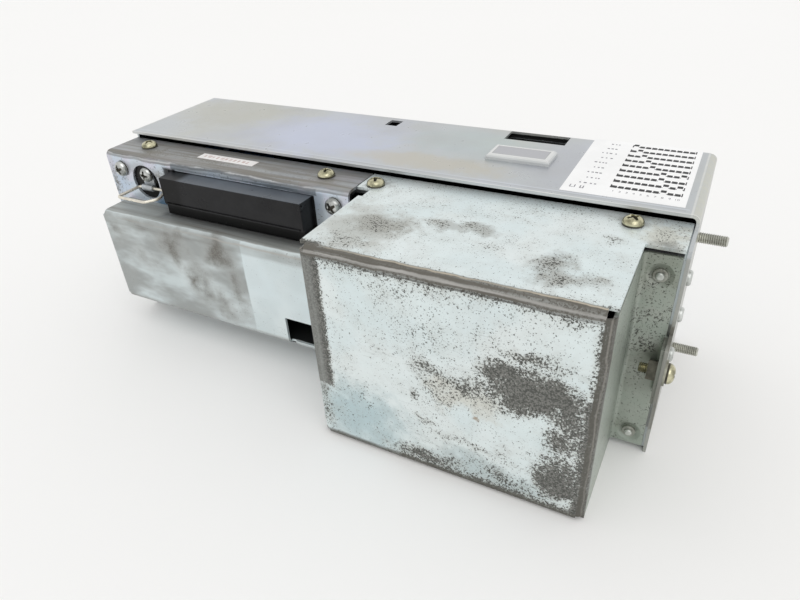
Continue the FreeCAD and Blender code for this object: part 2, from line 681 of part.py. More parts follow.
def power_board():
    board = slab(power_left_x, power_right_x, power_front_y, power_back_y,
                 power_board_z, power_board_z + board_thick)
    return board.cut([rod(x, y, power_board_z - 1, V(0, 0, 1), pillar_screw_r + thread_clearance,
                          board_thick + 2) for x, y in short_pillar_places])


def chip(size):
    base = main_board_z + board_thick
    return block(size["x"], size["y"], base, size["width"], size["depth"], size["height"])


def relays():
    return Part.Compound([block(x, relay_y, main_board_z + board_thick,
                                relay_width, relay_depth, relay_height) for x in relay_xs])


def capacitors():
    base = power_board_z + board_thick
    cans = []
    for x, y in capacitor_places:
        can = rod(x, y, base, V(0, 0, 1), capacitor_r, capacitor_height)
        groove = rod(x, y, base + groove_rise, V(0, 0, 1), capacitor_r + 1, groove_height).cut(
            rod(x, y, base + groove_rise, V(0, 0, 1), capacitor_r - groove_depth, groove_height))
        cans.append(can.cut(groove))
    return Part.Compound(cans)


def heat_sink():
    base = power_board_z + board_thick
    front = sink_y - sink_depth / 2
    plate = slab(sink_x - sink_width / 2, sink_x + sink_width / 2, front, front + sink_base,
                 base, base + sink_height)
    pitch = (sink_width - sink_fin) / (sink_fins - 1)
    fins = [slab(sink_x - sink_width / 2 + n * pitch, sink_x - sink_width / 2 + n * pitch + sink_fin,
                 front, front + sink_depth, base, base + sink_height) for n in range(sink_fins)]
    return fuse([plate] + fins)


def regulator():
    front = sink_y - sink_depth / 2
    return slab(sink_x - regulator_width / 2, sink_x + regulator_width / 2, front - regulator_depth,
                front, power_board_z + board_thick, power_board_z + board_thick + regulator_height)


def fuse_link():
    z = power_board_z + board_thick + clip_rise + fuse_r
    return rod(fuse_x - fuse_length / 2, fuse_y, z, V(1, 0, 0), fuse_r, fuse_length)


def fuse_clips():
    base = power_board_z + board_thick
    bore = fuse_link()
    clips = []
    for end in (-1, 1):
        x = fuse_x + end * (fuse_length - clip_width) / 2
        clips.append(block(x, fuse_y, base, clip_width, 2 * (fuse_r + clip_wall),
                           clip_rise + 2 * fuse_r * clip_share).cut(bore))
    return Part.Compound(clips)


def transformer_core():
    base = sheet + bracket_thick
    core = block(core_x, core_y, base, core_width, core_depth, core_height)
    for side in (-1, 1):
        x = core_x + side * (core_leg + core_window / 2)
        core = core.cut(block(x, core_y, base + core_leg, core_window, core_depth + 2,
                              core_height - 2 * core_leg))
    return core


def transformer_winding():
    base = sheet + bracket_thick + core_leg + winding_fit
    height = core_height - 2 * core_leg - 2 * winding_fit
    outside = block(core_x, core_y, base, 2 * (core_leg + core_window - winding_fit),
                    core_depth + 2 * winding_bulge, height)
    inside = block(core_x, core_y, base - 1, 2 * core_leg, core_depth, height + 2)
    return outside.cut(inside)


def transformer_bracket():
    # Strap over the core with a foot each side, standing on the floor of the power box.
    half = core_width / 2
    low = sheet
    tray = block(core_x, core_y, low, core_width, core_depth, bracket_thick)
    feet = []
    for side in (-1, 1):
        x = core_x + side * (half + bracket_foot / 2)
        feet.append(block(x, core_y, low, bracket_foot, core_depth, bracket_thick))
        cheek_x = core_x + side * (half + bracket_thick / 2)
        feet.append(block(cheek_x, core_y, low, bracket_thick, core_depth * bracket_width_share,
                          core_height + 2 * bracket_thick))
    strap = block(core_x, core_y, low + bracket_thick + core_height, core_width,
                  core_depth * bracket_width_share, bracket_thick)
    return fuse([tray, strap] + feet)


def terminal_block():
    body = block(terminal_x, terminal_y, main_board_z + board_thick, terminal_width, terminal_depth,
                 terminal_height)
    pitch = terminal_width / terminal_ways
    wells = [rod(terminal_x - terminal_width / 2 + pitch * (n + 0.5), terminal_y,
                 main_board_z + board_thick + terminal_height - terminal_well_depth, V(0, 0, 1),
                 terminal_well_r, terminal_well_depth + 1)
             for n in range(terminal_ways)]
    return body.cut(wells)


def mounting_studs():
    solids = []
    for y, z in mount_stud_places:
        shank = rod(right_x, y, z, V(1, 0, 0), m4_r, stud_reach)
        shoulder = rod(inner_right_x, y, z, V(1, 0, 0), m4_r + stud_shoulder, sheet)
        tip = [e for e in shank.Edges if isinstance(e.Curve, Part.Circle) and e.CenterOfMass.x > right_x + 1]
        shank = shank.makeChamfer(stud_tip_chamfer, tip)
        head = rod(inner_right_x - stud_head_height, y, z, V(1, 0, 0), stud_head_r, stud_head_height)
        solids.append(fuse([shank, shoulder, head]))
    return Part.Compound(solids)


def end_rivets():
    solids = []
    for z in rivet_zs:
        head = rod(right_x, rivet_y, z, V(1, 0, 0), rivet_head_r, rivet_head_height)
        rim = [e for e in head.Edges if isinstance(e.Curve, Part.Circle) and e.CenterOfMass.x > right_x + 0.5]
        head = head.makeFillet(rivet_round, rim)
        shank = rod(right_x - 2 * sheet, rivet_y, z, V(1, 0, 0), rivet_r, 2 * sheet)
        tail = rod(right_x - 2 * sheet - rivet_tail_height, rivet_y, z, V(1, 0, 0),
                   rivet_tail_r, rivet_tail_height)
        solids.append(fuse([head, shank, tail]))
    return Part.Compound(solids)


def box_studs():
    solids = []
    for x, z in box_stud_places:
        shank = rod(x, face_y - box_stud_reach, z, V(0, 1, 0), m3_r, box_stud_reach + 2 * sheet)
        tip = [e for e in shank.Edges if isinstance(e.Curve, Part.Circle) and e.CenterOfMass.y < face_y]
        shank = shank.makeFillet(m3_r / 2, tip)
        head = rod(x, wall_y + sheet, z, V(0, 1, 0), stud_head_r, stud_head_height)
        solids.append(fuse([shank, head]))
    return Part.Compound(solids)


def box_collars():
    # Peened collars that hold the power box on its studs, each seated in its dimple.
    solids = []
    floor_y = face_y + dimple_depth
    for x, z in box_stud_places:
        length = dimple_depth + box_collar_height
        collar = rod(x, floor_y - length, z, V(0, 1, 0), box_collar_r, length)
        rim = [e for e in collar.Edges if isinstance(e.Curve, Part.Circle) and e.CenterOfMass.y < face_y]
        collar = collar.makeFillet(box_collar_height, rim)
        solids.append(collar.cut(rod(x, floor_y - 2 * length, z, V(0, 1, 0), m3_r + thread_clearance,
                                     3 * length)))
    return Part.Compound(solids)


def clamp_screw():
    return pan_screw(V(right_x + washer_thick, clamp_y, clamp_z), V(1, 0, 0),
                     length=clamp_length + washer_thick, head_height=front_head_height)


def clamp_washer():
    return rod(right_x, clamp_y, clamp_z, V(1, 0, 0), washer_r, washer_thick).cut(
        rod(right_x - 1, clamp_y, clamp_z, V(1, 0, 0), m4_r + hole_clearance, washer_thick + 2))


def clamp_nut():
    radius = nut_flats / math.sqrt(3)
    face_x = inner_right_x - sheet
    turns = [math.radians(60 * n + 30) for n in range(6)]     # a flat faces the bend beside it
    points = [V(face_x - nut_height, clamp_y + radius * math.cos(turn), clamp_z + radius * math.sin(turn))
              for turn in turns]
    body = Part.Face(Part.makePolygon(points + points[:1])).extrude(V(nut_height, 0, 0))
    return body.cut(rod(face_x - nut_height - 1, clamp_y, clamp_z, V(1, 0, 0),
                        m4_r + thread_clearance, nut_height + 2))


def clear_pad():
    pad = block(pad_x, pad_y, top_z, pad_width, pad_depth, pad_height)
    rim = [e for e in pad.Edges if abs(e.CenterOfMass.z - top_z - pad_height) < 0.01]
    return pad.makeChamfer(pad_bevel, rim)


def setting_label():
    return slab(label_left_x, label_left_x + label_width, label_front_y, label_front_y + label_depth,
                top_z, top_z + label_thick).cut(
        block(dip_window_x, dip_window_y, top_z - 1, dip_window_width, dip_window_depth, 3))


def front_tag():
    return slab(tag_left_x, tag_left_x + tag_width, tag_front_y, tag_front_y + tag_depth,
                flange_z, flange_z + label_thick)


def several(make, places):
    return Part.Compound([make(place) for place in places])


parts = {
    "top_cover": top_cover(),
    "chassis": chassis(),
    "front_frame": front_frame(),
    "lower_front_cover": lower_front_cover(),
    "box_cover": box_cover(),
    "connector_housing": connector_housing(),
    "connector_contacts": contact_pins(),
    "connector_cap": connector_cap(),
    "bail_bracket": bail_bracket(),
    "bail_wire": bail_wire(),
    "bail_screw": pan_screw(V(strap_x, wall_y - strap_thick, hook_screw_z), V(0, -1, 0), hook_screw_r,
                            m3_r, strap_thick + flange_thick - 0.2, hook_screw_head_height),
    "flange_screws": several(lambda p: pan_screw(V(p[0], p[1], flange_z), V(0, 0, 1),
                                                 head_height=front_head_height), flange_screw_places),
    "front_screws": several(lambda p: pan_screw(V(p[0], face_y, p[1]), V(0, -1, 0),
                                                head_height=front_head_height), front_screw_places),
    "lower_cover_screws": several(lambda x: pan_screw(V(x, face_y, lower_screw_z), V(0, -1, 0),
                                                      lower_screw_head_r, m3_r), lower_screw_xs),
    "back_screws": several(lambda x: pan_screw(V(x, back_y, back_screw_z), V(0, 1, 0)), back_screw_xs),
    "box_studs": box_studs(),
    "box_collars": box_collars(),
    "clamp_screw": clamp_screw(),
    "clamp_washer": clamp_washer(),
    "clamp_nut": clamp_nut(),
    "mounting_studs": mounting_studs(),
    "end_rivets": end_rivets(),
    "clear_pad": clear_pad(),
    "setting_label": setting_label(),
    "front_tag": front_tag(),
    "dip_switch_body": dip_switch_body(),
    "switch_board": switch_board(),
    "switch_header": switch_header(),
    "main_board": main_board(),
    "main_pillars": pillars(pillar_places, main_board_z),
    "main_board_screws": pillar_screws(pillar_places, main_board_z),
    "processor_chip": chip(processor),
    "memory_chip": chip(memory),
    "relays": relays(),
    "terminal_block": terminal_block(),
    "power_board": power_board(),
    "power_pillars": pillars(short_pillar_places, power_board_z),
    "power_board_screws": pillar_screws(short_pillar_places, power_board_z),
    "smoothing_capacitors": capacitors(),
    "heat_sink": heat_sink(),
    "regulator": regulator(),
    "fuse_link": fuse_link(),
    "fuse_clips": fuse_clips(),
    "transformer_core": transformer_core(),
    "transformer_winding": transformer_winding(),
    "transformer_bracket": transformer_bracket(),
}
for way, x in enumerate(dip_places(), 1):
    parts["dip_slider_%d" % way] = dip_slider(x)

os.makedirs("parts", exist_ok=True)
for name, shape in parts.items():
    if not shape.isValid() or not shape.Solids:
        raise RuntimeError(name + " is not a valid solid")
    shape.exportStep("parts/%s.step" % name)
print(len(parts), "nodes")
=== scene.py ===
import bpy
import math
import random
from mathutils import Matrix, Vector


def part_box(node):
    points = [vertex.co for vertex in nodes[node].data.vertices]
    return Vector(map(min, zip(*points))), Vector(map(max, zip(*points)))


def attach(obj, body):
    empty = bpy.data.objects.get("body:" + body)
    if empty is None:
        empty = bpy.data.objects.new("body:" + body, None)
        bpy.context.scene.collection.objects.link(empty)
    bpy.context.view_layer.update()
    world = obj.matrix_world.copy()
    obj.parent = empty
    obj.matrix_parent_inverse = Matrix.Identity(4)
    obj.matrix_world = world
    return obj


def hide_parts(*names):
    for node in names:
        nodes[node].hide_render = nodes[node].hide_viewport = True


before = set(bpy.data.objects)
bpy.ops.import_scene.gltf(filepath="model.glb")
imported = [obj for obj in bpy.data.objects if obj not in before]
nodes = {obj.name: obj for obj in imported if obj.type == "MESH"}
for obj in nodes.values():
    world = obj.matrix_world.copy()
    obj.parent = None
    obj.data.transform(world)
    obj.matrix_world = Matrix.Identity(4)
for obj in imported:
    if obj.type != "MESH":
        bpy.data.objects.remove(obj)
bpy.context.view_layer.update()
mm = 0.001
print("frame loaded with", len(nodes), "nodes")


# Shader maths is written on Wires, and every other node comes from Finish.add
class Wire:
    def __init__(self, finish, socket):
        self.finish = finish
        self.socket = socket

    def __add__(self, other):
        return self.finish.maths("ADD", self, other)

    def __radd__(self, other):
        return self.finish.maths("ADD", other, self)

    def __sub__(self, other):
        return self.finish.maths("SUBTRACT", self, other)

    def __rsub__(self, other):
        return self.finish.maths("SUBTRACT", other, self)

    def __mul__(self, other):
        return self.finish.maths("MULTIPLY", self, other)

    def __rmul__(self, other):
        return self.finish.maths("MULTIPLY", other, self)

    def __pow__(self, other):
        return self.finish.maths("POWER", self, other)


class Finish:
    def __init__(self, name, **fixed):
        self.material = bpy.data.materials.new(name)
        self.material.use_nodes = True
        self.tree = self.material.node_tree
        self.shader = next(n for n in self.tree.nodes if n.type == "BSDF_PRINCIPLED")
        for socket, value in fixed.items():
            self.shader.inputs[socket.replace("_", " ")].default_value = value
        self.here = self.add("ShaderNodeTexCoord", out="Object")

    def add(self, kind, settings=None, values=None, out=0):
        node = self.tree.nodes.new(kind)
        for key, value in (settings or {}).items():
            setattr(node, key, value)
        for key, value in (values or {}).items():
            self.feed(node.inputs[key], value)
        return Wire(self, node.outputs[out])

    def feed(self, socket, value):
        if isinstance(value, Wire):
            self.tree.links.new(value.socket, socket)
        elif socket.type == "RGBA" and len(value) == 3:
            socket.default_value = (*value, 1)
        else:
            socket.default_value = value

    def maths(self, operation, first, second=0.0):
        return self.add("ShaderNodeMath", {"operation": operation}, {0: first, 1: second})

    def vectors(self, operation, first, second, out=0):
        return self.add("ShaderNodeVectorMath", {"operation": operation}, {0: first, 1: second}, out)

    def moved(self, by):
        return self.vectors("ADD", self.here, by)

    def biggest(self, wires):
        best = wires[0]
        for wire in wires[1:]:
            best = self.maths("MAXIMUM", best, wire)
        return best

    def noise(self, scale, detail=3.0, roughness=0.55, where=None, out=0):
        return self.add("ShaderNodeTexNoise", None, {"Vector": where or self.here, "Scale": scale,
                        "Detail": detail, "Roughness": roughness}, out)

    def step(self, value, low, high):
        return self.add("ShaderNodeMapRange", {"interpolation_type": "SMOOTHSTEP"},
                        {"Value": value, "From Min": low, "From Max": high})

    def blend(self, share, first, second):
        return self.add("ShaderNodeMix", {"data_type": "RGBA"}, {0: share, 6: first, 7: second}, 2)

    def stretched(self, turn, scale):
        return self.add("ShaderNodeMapping", None,
                        {"Vector": self.here, "Rotation": [math.radians(a) for a in turn], "Scale": scale})

    def patch(self, where, centre, reach):
        # 1 in the middle of an ellipsoid given in millimetres, 0 on it and below 0 outside
        scale = [1 / (r * mm) for r in reach]
        moved = self.add("ShaderNodeVectorMath", {"operation": "MULTIPLY_ADD"},
                         {0: where, 1: scale, 2: [-c * mm * s for c, s in zip(centre, scale)]})
        return 1 - self.vectors("LENGTH", moved, (0, 0, 0), out=1)

    def room(self, where, low, high, soft):
        # 1 inside a box given in millimetres, fading to 0 over the soft distance at its walls
        centre = [(a + b) / 2 * mm for a, b in zip(low, high)]
        half = [(b - a) / 2 * mm for a, b in zip(low, high)]
        away = self.add("ShaderNodeVectorMath", {"operation": "ABSOLUTE"},
                        {0: self.vectors("SUBTRACT", where, centre)})
        inside = self.vectors("SUBTRACT", half, away)
        parts = [self.add("ShaderNodeSeparateXYZ", None, {0: inside}, axis) for axis in range(3)]
        least = self.maths("MINIMUM", self.maths("MINIMUM", parts[0], parts[1]), parts[2])
        return self.step(least, 0.0, soft * mm)

    def specks(self, scale, size, gate):
        cell = self.add("ShaderNodeTexVoronoi", {"feature": "F1"}, {"Vector": self.here, "Scale": scale})
        return (1 - self.step(cell, size * 0.4, size)) * gate

    def done(self, colour=None, roughness=None, metallic=None, height=None, bump=0.2, distance=0.0002):
        for name, value in (("Base Color", colour), ("Roughness", roughness), ("Metallic", metallic)):
            if value is not None:
                self.feed(self.shader.inputs[name], value)
        if height is not None:
            normal = self.add("ShaderNodeBump", None,
                              {"Strength": bump, "Distance": distance, "Height": height})
            self.feed(self.shader.inputs["Normal"], normal)
        return self.material


def dress(material, *names):
    for name in names:
        piece = nodes[name]
        if not piece.material_slots:
            piece.data.materials.append(material)
        for place in piece.material_slots:
            place.material = material


# What every plated sheet shares: scales of its grain, flecks, scratches and streaks, and how deep they press
sheetGrain = {"fine": 1300, "pepper": 1500, "gate": 30, "spots": 430, "dots": 1100,
              "scratchTurn": (18, 31, 12), "scratchStretch": (45, 45, 1900), "scratchCut": (0.68, 0.75),
              "scratchGate": (0.48, 0.62), "scratchShare": 0.6, "flowStretch": (20, 20, 52),
              "alongX": (15, 360, 360), "alongZ": (360, 360, 15), "unlit": (0.015, 0.015, 0.015),
              "bump": 0.16, "depth": 0.00025}


def zinc(name, look):
    # Plated sheet: clouded tints, worn patches, rubbed bends, painted highlights and shade, flecks, dirt and
    # fine scratches
    f = Finish(name)
    drift = f.vectors("SUBTRACT", f.noise(look.get("driftScale", 75), 4, out=1), (0.5, 0.5, 0.5))
    where = f.moved(f.vectors("MULTIPLY", drift, (look["wander"] * mm,) * 3))
    near = f.moved(f.vectors("MULTIPLY", drift, (look.get("waver", 2.5) * mm,) * 3))
    cloud = f.noise(look["cloud"], 3, 0.5)
    cloudTwo = f.noise(look["cloud"] * 1.7, 2, 0.5, f.moved((0.31, 0.17, 0.53)))
    coarse = f.noise(look["mottleScale"], 5, 0.66)
    fine = f.noise(sheetGrain["fine"], 4, 0.75)
    pepper = f.noise(sheetGrain["pepper"], 2, 0.7, f.moved((0.7, 0.2, 0.6)))
    flow = f.noise(1, 4, 0.55, f.stretched((0, look.get("flow", 38), 0), sheetGrain["flowStretch"]))
    colour = f.blend(f.step(cloud, 0.38, 0.64), look["clean"], look["tint"])
    colour = f.blend(f.step(cloudTwo, 0.46, 0.66) * 0.7, colour, look["tintTwo"])
    for area in look.get("areas", []):
        share = f.step(f.patch(where, area["at"], area["reach"]) + (coarse - 0.5) * 0.9, 0.05, 0.7)
        colour = f.blend(share * area["share"], colour, area["colour"])
    for room in look.get("clouded", []):
        share = f.room(near, room["low"], room["high"], room["soft"])
        share = share * f.step(flow, room["from"], room["to"]) * room["share"]
        colour = f.blend(share, colour, room["colour"])

    # Where the plating is worn: patches and rooms, broken up by the grain
    fields = [f.patch(where, at, reach) * strength for at, reach, strength in look["patches"]]
    for low, high, soft, strength in look.get("solids", []):
        fields.append(f.room(near, low, high, soft) * strength)
    field = f.biggest(fields)
    grain = (coarse - 0.5) * look["mottle"] + (fine - 0.5) * look["pepper"]
    wear = f.step(field * look["push"] + grain, look["edge"], look["edge"] + look["blend"])
    shade = f.step(field * 1.2 + (coarse - 0.5) * 1.2, -0.25, 0.8)
    colour = f.blend(shade * look["shadeShare"], colour, look["shade"])
    core = f.blend(f.step(pepper, 0.4, 0.62), look["worn"], look["wornTwo"])
    core = f.blend(f.step(field + (coarse - 0.5) * 0.5, 0.1, 0.55), look["dirt"], core)
    colour = f.blend(wear, colour, core)

    # Flecks, thicker near the worn places
    gate = f.noise(sheetGrain["gate"], 3) * 0.35 + f.step(field, -0.7, 0.4) * 0.045
    if look.get("speckRoom"):
        gate = gate + f.room(near, *look["speckRoom"], 1.0) * 0.05
    cut = look["speckCut"]
    spots = f.step(f.noise(sheetGrain["spots"], 4, 0.7) + gate, cut + 0.03, cut + 0.07)
    dots = f.step(f.noise(sheetGrain["dots"], 2, 0.6, f.moved((0.4, 0.1, 0.9))) + gate, cut, cut + 0.04)
    flecks = f.biggest([spots, dots])
    colour = f.blend(flecks * look["speckShare"], colour, look["dirt"])

    # Scratches, then the bend bands: streaks rubbed along the bends, and painted highlight and shade lines
    lines = f.noise(1.0, 2, 0.6, f.stretched(sheetGrain["scratchTurn"], sheetGrain["scratchStretch"]))
    lines = f.step(lines, *sheetGrain["scratchCut"]) * f.step(f.noise(21, 1), *sheetGrain["scratchGate"])
    colour = f.blend(lines * sheetGrain["scratchShare"], colour, look["worn"])
    streaks = {"x": f.noise(1, 3, 0.6, f.stretched((0, 0, 0), sheetGrain["alongX"])),
               "z": f.noise(1, 3, 0.6, f.stretched((0, 0, 0), sheetGrain["alongZ"]))}
    bendWearAndLight = []
    for low, high, soft, shadeOf, share, way, uneven in look["bends"]:
        bendWearAndLight.append(f.room(near, low, high, soft) * (share + (streaks[way] - 0.5) * uneven))
        colour = f.blend(bendWearAndLight[-1], colour, shadeOf)
    for low, high, share in look["inside"]:
        colour = f.blend(f.room(f.here, low, high, 0.1) * share, colour, sheetGrain["unlit"])
    dull = f.biggest([wear, flecks, f.biggest(bendWearAndLight) * 0.5])
    clean, worn = look["roughness"]
    roughness = clean + dull * (worn - clean) + (coarse - 0.5) * 0.16
    metallic = look["metallic"] - dull * (look["metallic"] * 0.6)
    height = fine * 0.35 + coarse * 0.5 - wear * 0.4 - lines * 0.6
    return f.done(colour, roughness, metallic, height, sheetGrain["bump"], sheetGrain["depth"])


def plain(name, look, **fixed):
    # Smaller pieces: two shades in clouds, grime in specks, and a grain
    f = Finish(name, **fixed)
    scale = look.get("scale", 160)
    cloud = f.noise(scale, 4, 0.6)
    grain = f.noise(scale * 7, 2, 0.6)
    colour = f.blend(f.step(cloud, 0.38, 0.66), look["base"], look["other"])
    grime = f.step(f.noise(scale * 2.6, 5, 0.7, f.moved((0.2, 0.7, 0.4))), 0.55, 0.72)
    colour = f.blend(grime * look.get("grimeShare", 0.5), colour, look.get("grime", (0.05, 0.05, 0.045)))
    roughness = look["roughness"] + (cloud - 0.5) * 0.3 + grime * 0.15
    metallic = None
    if look.get("metallic"):
        metallic = look["metallic"] - grime * (look["metallic"] * 0.5)
    height = grain * 0.5 + cloud * 0.4 - grime * 0.2
    return f.done(colour, roughness, metallic, height, look.get("bump", 0.12))


# In a look, all in millimetres: patches are (middle, reach, strength) of worn ellipsoids, solids are
# (low, high, softness, strength) of worn rooms, areas and clouded lay a colour over (a few areas are painted
# shade and one a painted reflection), bends are rooms with (softness, colour, share, streak direction,
# unevenness) holding rubbed wear, painted highlight lines and painted shade, and inside are rooms that no
# light has reached

# Power box: the cleanest zinc, rubbed through at its bends and in the middle of its right half
boxLook = {
    "clean": (0.73, 0.81, 0.815), "tint": (0.76, 0.82, 0.82), "tintTwo": (0.68, 0.775, 0.79),
    "shade": (0.47, 0.475, 0.44), "worn": (0.075, 0.078, 0.070), "wornTwo": (0.20, 0.20, 0.185),
    "dirt": (0.055, 0.055, 0.047),
    "cloud": 22, "mottleScale": 130, "roughness": (0.36, 0.72), "metallic": 0.4, "wander": 21,
    "push": 1.9, "mottle": 1.0, "pepper": 4.6, "edge": 0.6, "blend": 0.12, "shadeShare": 0.7,
    "speckCut": 0.88, "speckShare": 0.85, "speckRoom": ((113, -30, -5), (135, -15, 95)),
    "patches": [
        ((95, -65, 52), (22, 9, 13), 1.25), ((84, -65, 57), (13, 9, 9), 0.9),
        ((107, -65, 47), (10, 9, 12), 0.8),
        ((105, -65, 18), (13, 9, 15), 1.0), ((107, -65, 34), (9, 9, 9), 0.75),
        ((93, -65, 66), (18, 9, 5), 0.55),
        ((55, -65, 8), (22, 9, 6), 0.7), ((73, -65, 48), (16, 9, 10), 0.5), ((57, -65, 51), (9, 9, 7), 0.5),
        ((50, -65, 36), (4, 9, 4), 0.6), ((54, -65, 27), (7, 9, 3), 0.4), ((63, -65, 40), (16, 9, 8), 0.3),
        ((80, -65, 76), (30, 9, 12), 0.14), ((86, -65, 10), (18, 9, 7), 0.4),
        ((60, -65, 66), (40, 9, 14), 0.05),
        ((75, -65, 22), (22, 9, 3), 0.3), ((60, -65, 83), (60, 9, 5), 0.2),
        ((28, -42, 91), (15, 12, 7), 0.3), ((45, -35, 91), (6, 5, 7), 0.3), ((57, -32, 91), (8, 6, 7), 0.32),
        ((74, -36, 91), (6, 6, 7), 0.2), ((92, -46, 91), (8, 13, 7), 0.42), ((98, -54, 91), (12, 7, 7), 0.4),
        ((20, -57, 91), (12, 7, 7), 0.3), ((60, -20, 91), (60, 5, 7), 0.1), ((122, -12, 91), (9, 9, 5), 0.25),
        ((108, -24, 91), (7, 5, 5), 0.3), ((121, -21, 52), (7, 5, 12), 0.3),
        ((122, -21, 68), (11, 5, 12), 0.22),
        ((122, -21, 36), (7, 5, 9), 0.2),
    ],
    "solids": [
        ((-9, -72, 27), (16.5, -60, 99), 3.5, 0.85), ((-9, -72, 4), (15.5, -60, 99), 9.0, 0.5),
        ((40, -72, -9), (200, -60, 9), 8.0, 0.7), ((-9, -72, -9), (200, -60, 4), 4.0, 0.5),
        ((107, -72, -9), (130, -60, 60), 7.0, 0.75), ((109, -72, -9), (130, -60, 99), 5.0, 0.45),
        ((-9, -72, 81), (200, -60, 99), 6.0, 0.3),
    ],
    "areas": [
        {"at": (76, -65, 35), "reach": (2.6, 9, 1.8), "colour": (0.30, 0.20, 0.11), "share": 0.8},
        {"at": (70, -65, 42), "reach": (18, 9, 9), "colour": (0.66, 0.63, 0.54), "share": 0.6},
        {"at": (26, -65, 18), "reach": (30, 9, 24), "colour": (0.42, 0.545, 0.575), "share": 0.8},
        {"at": (80, -65, 8), "reach": (40, 9, 13), "colour": (0.44, 0.54, 0.56), "share": 0.7},
        {"at": (22, -45, 91), "reach": (26, 30, 7), "colour": (0.46, 0.465, 0.43), "share": 0.7},
        {"at": (28, -42, 91), "reach": (17, 13, 7), "colour": (0.30, 0.30, 0.27), "share": 0.75},
        {"at": (48, -35, 91), "reach": (10, 6, 7), "colour": (0.34, 0.35, 0.33), "share": 0.6},
        {"at": (60, -32, 91), "reach": (10, 7, 7), "colour": (0.32, 0.33, 0.31), "share": 0.7},
        {"at": (92, -46, 91), "reach": (10, 15, 7), "colour": (0.30, 0.31, 0.29), "share": 0.7},
        {"at": (98, -54, 91), "reach": (15, 8, 7), "colour": (0.36, 0.37, 0.35), "share": 0.7},
        {"at": (8, -9, 91), "reach": (7, 7, 4), "colour": (0.14, 0.135, 0.115), "share": 0.6},
        {"at": (109, -7, 91), "reach": (7, 7, 4), "colour": (0.14, 0.135, 0.115), "share": 0.6},
        {"at": (120, -12, 91), "reach": (12, 14, 6), "colour": (0.58, 0.57, 0.48), "share": 0.7},
        {"at": (122, -21, 84), "reach": (9, 6, 22), "colour": (0.13, 0.13, 0.11), "share": 0.8},
        # painted shadow round the clamp nut, then painted shade in the dimples round the two studs
        {"at": (125, -21, 47), "reach": (9, 6, 12), "colour": (0.07, 0.068, 0.055), "share": 0.85},
        {"at": (122, -21, 77), "reach": (6.5, 4, 6.5), "colour": (0.06, 0.058, 0.048), "share": 0.7},
        {"at": (122, -21, 12), "reach": (6.5, 4, 6.5), "colour": (0.06, 0.058, 0.048), "share": 0.7},
    ],
    "clouded": [
        {"low": (112, -62, -9), "high": (135, -15, 89.8), "soft": 0.8, "from": -0.2, "to": 0.1,
         "colour": (0.27, 0.31, 0.25), "share": 0.85},
        {"low": (115.9, -30, -9), "high": (135, -15, 89.8), "soft": 0.8, "from": 0.38, "to": 0.8,
         "colour": (0.20, 0.21, 0.175), "share": 0.6},
    ],
    "bends": [
        ((-9, -80, 86.6), (200, -62.2, 99), 0.9, (0.125, 0.117, 0.10), 0.88, "x", 1.6),
        # painted highlight: the cream line along the top of the front bend
        ((-9, -63.6, 89), (200, -62.7, 99), 0.4, (0.58, 0.52, 0.42), 0.45, "x", 3.2),
        ((-9, -80, 87.9), (200, -63, 89.5), 0.5, (0.46, 0.45, 0.43), 0.5, "x", 3.2),
        ((-9, -80, 85.9), (200, -63, 87.2), 0.4, (0.06, 0.056, 0.048), 0.45, "x", 2.6),
        ((-9, -80, 24), (13.5, -60.8, 88), 2.5, (0.30, 0.31, 0.295), 0.55, "z", 1.4),
        ((112.6, -80, -9), (130, -60.8, 88.5), 0.6, (0.10, 0.096, 0.082), 0.85, "z", 0.9),
        # painted highlight: thin light line inside the dark right edge band
        ((114.3, -80, -9), (115.1, -60.8, 88.5), 0.3, (0.36, 0.34, 0.31), 0.3, "z", 1.6),
        # painted highlight: light line along the left edge
        ((-9, -80, -9), (7.6, -60.8, 90), 0.4, (0.42, 0.40, 0.36), 0.6, "z", 2.0),
        ((-9, -80, -9), (200, -60.8, 4.6), 1.8, (0.10, 0.096, 0.08), 0.85, "x", 1.0),
        ((126, -40, 12), (135, -21.8, 62), 0.4, (0.15, 0.145, 0.125), 0.8, "z", 1.8),
    ],
    "inside": [((8.1, -63.6, 1.2), (114.5, 2, 89.8), 0.95)],
}
dress(zinc("boxZinc", boxLook), "box_cover")

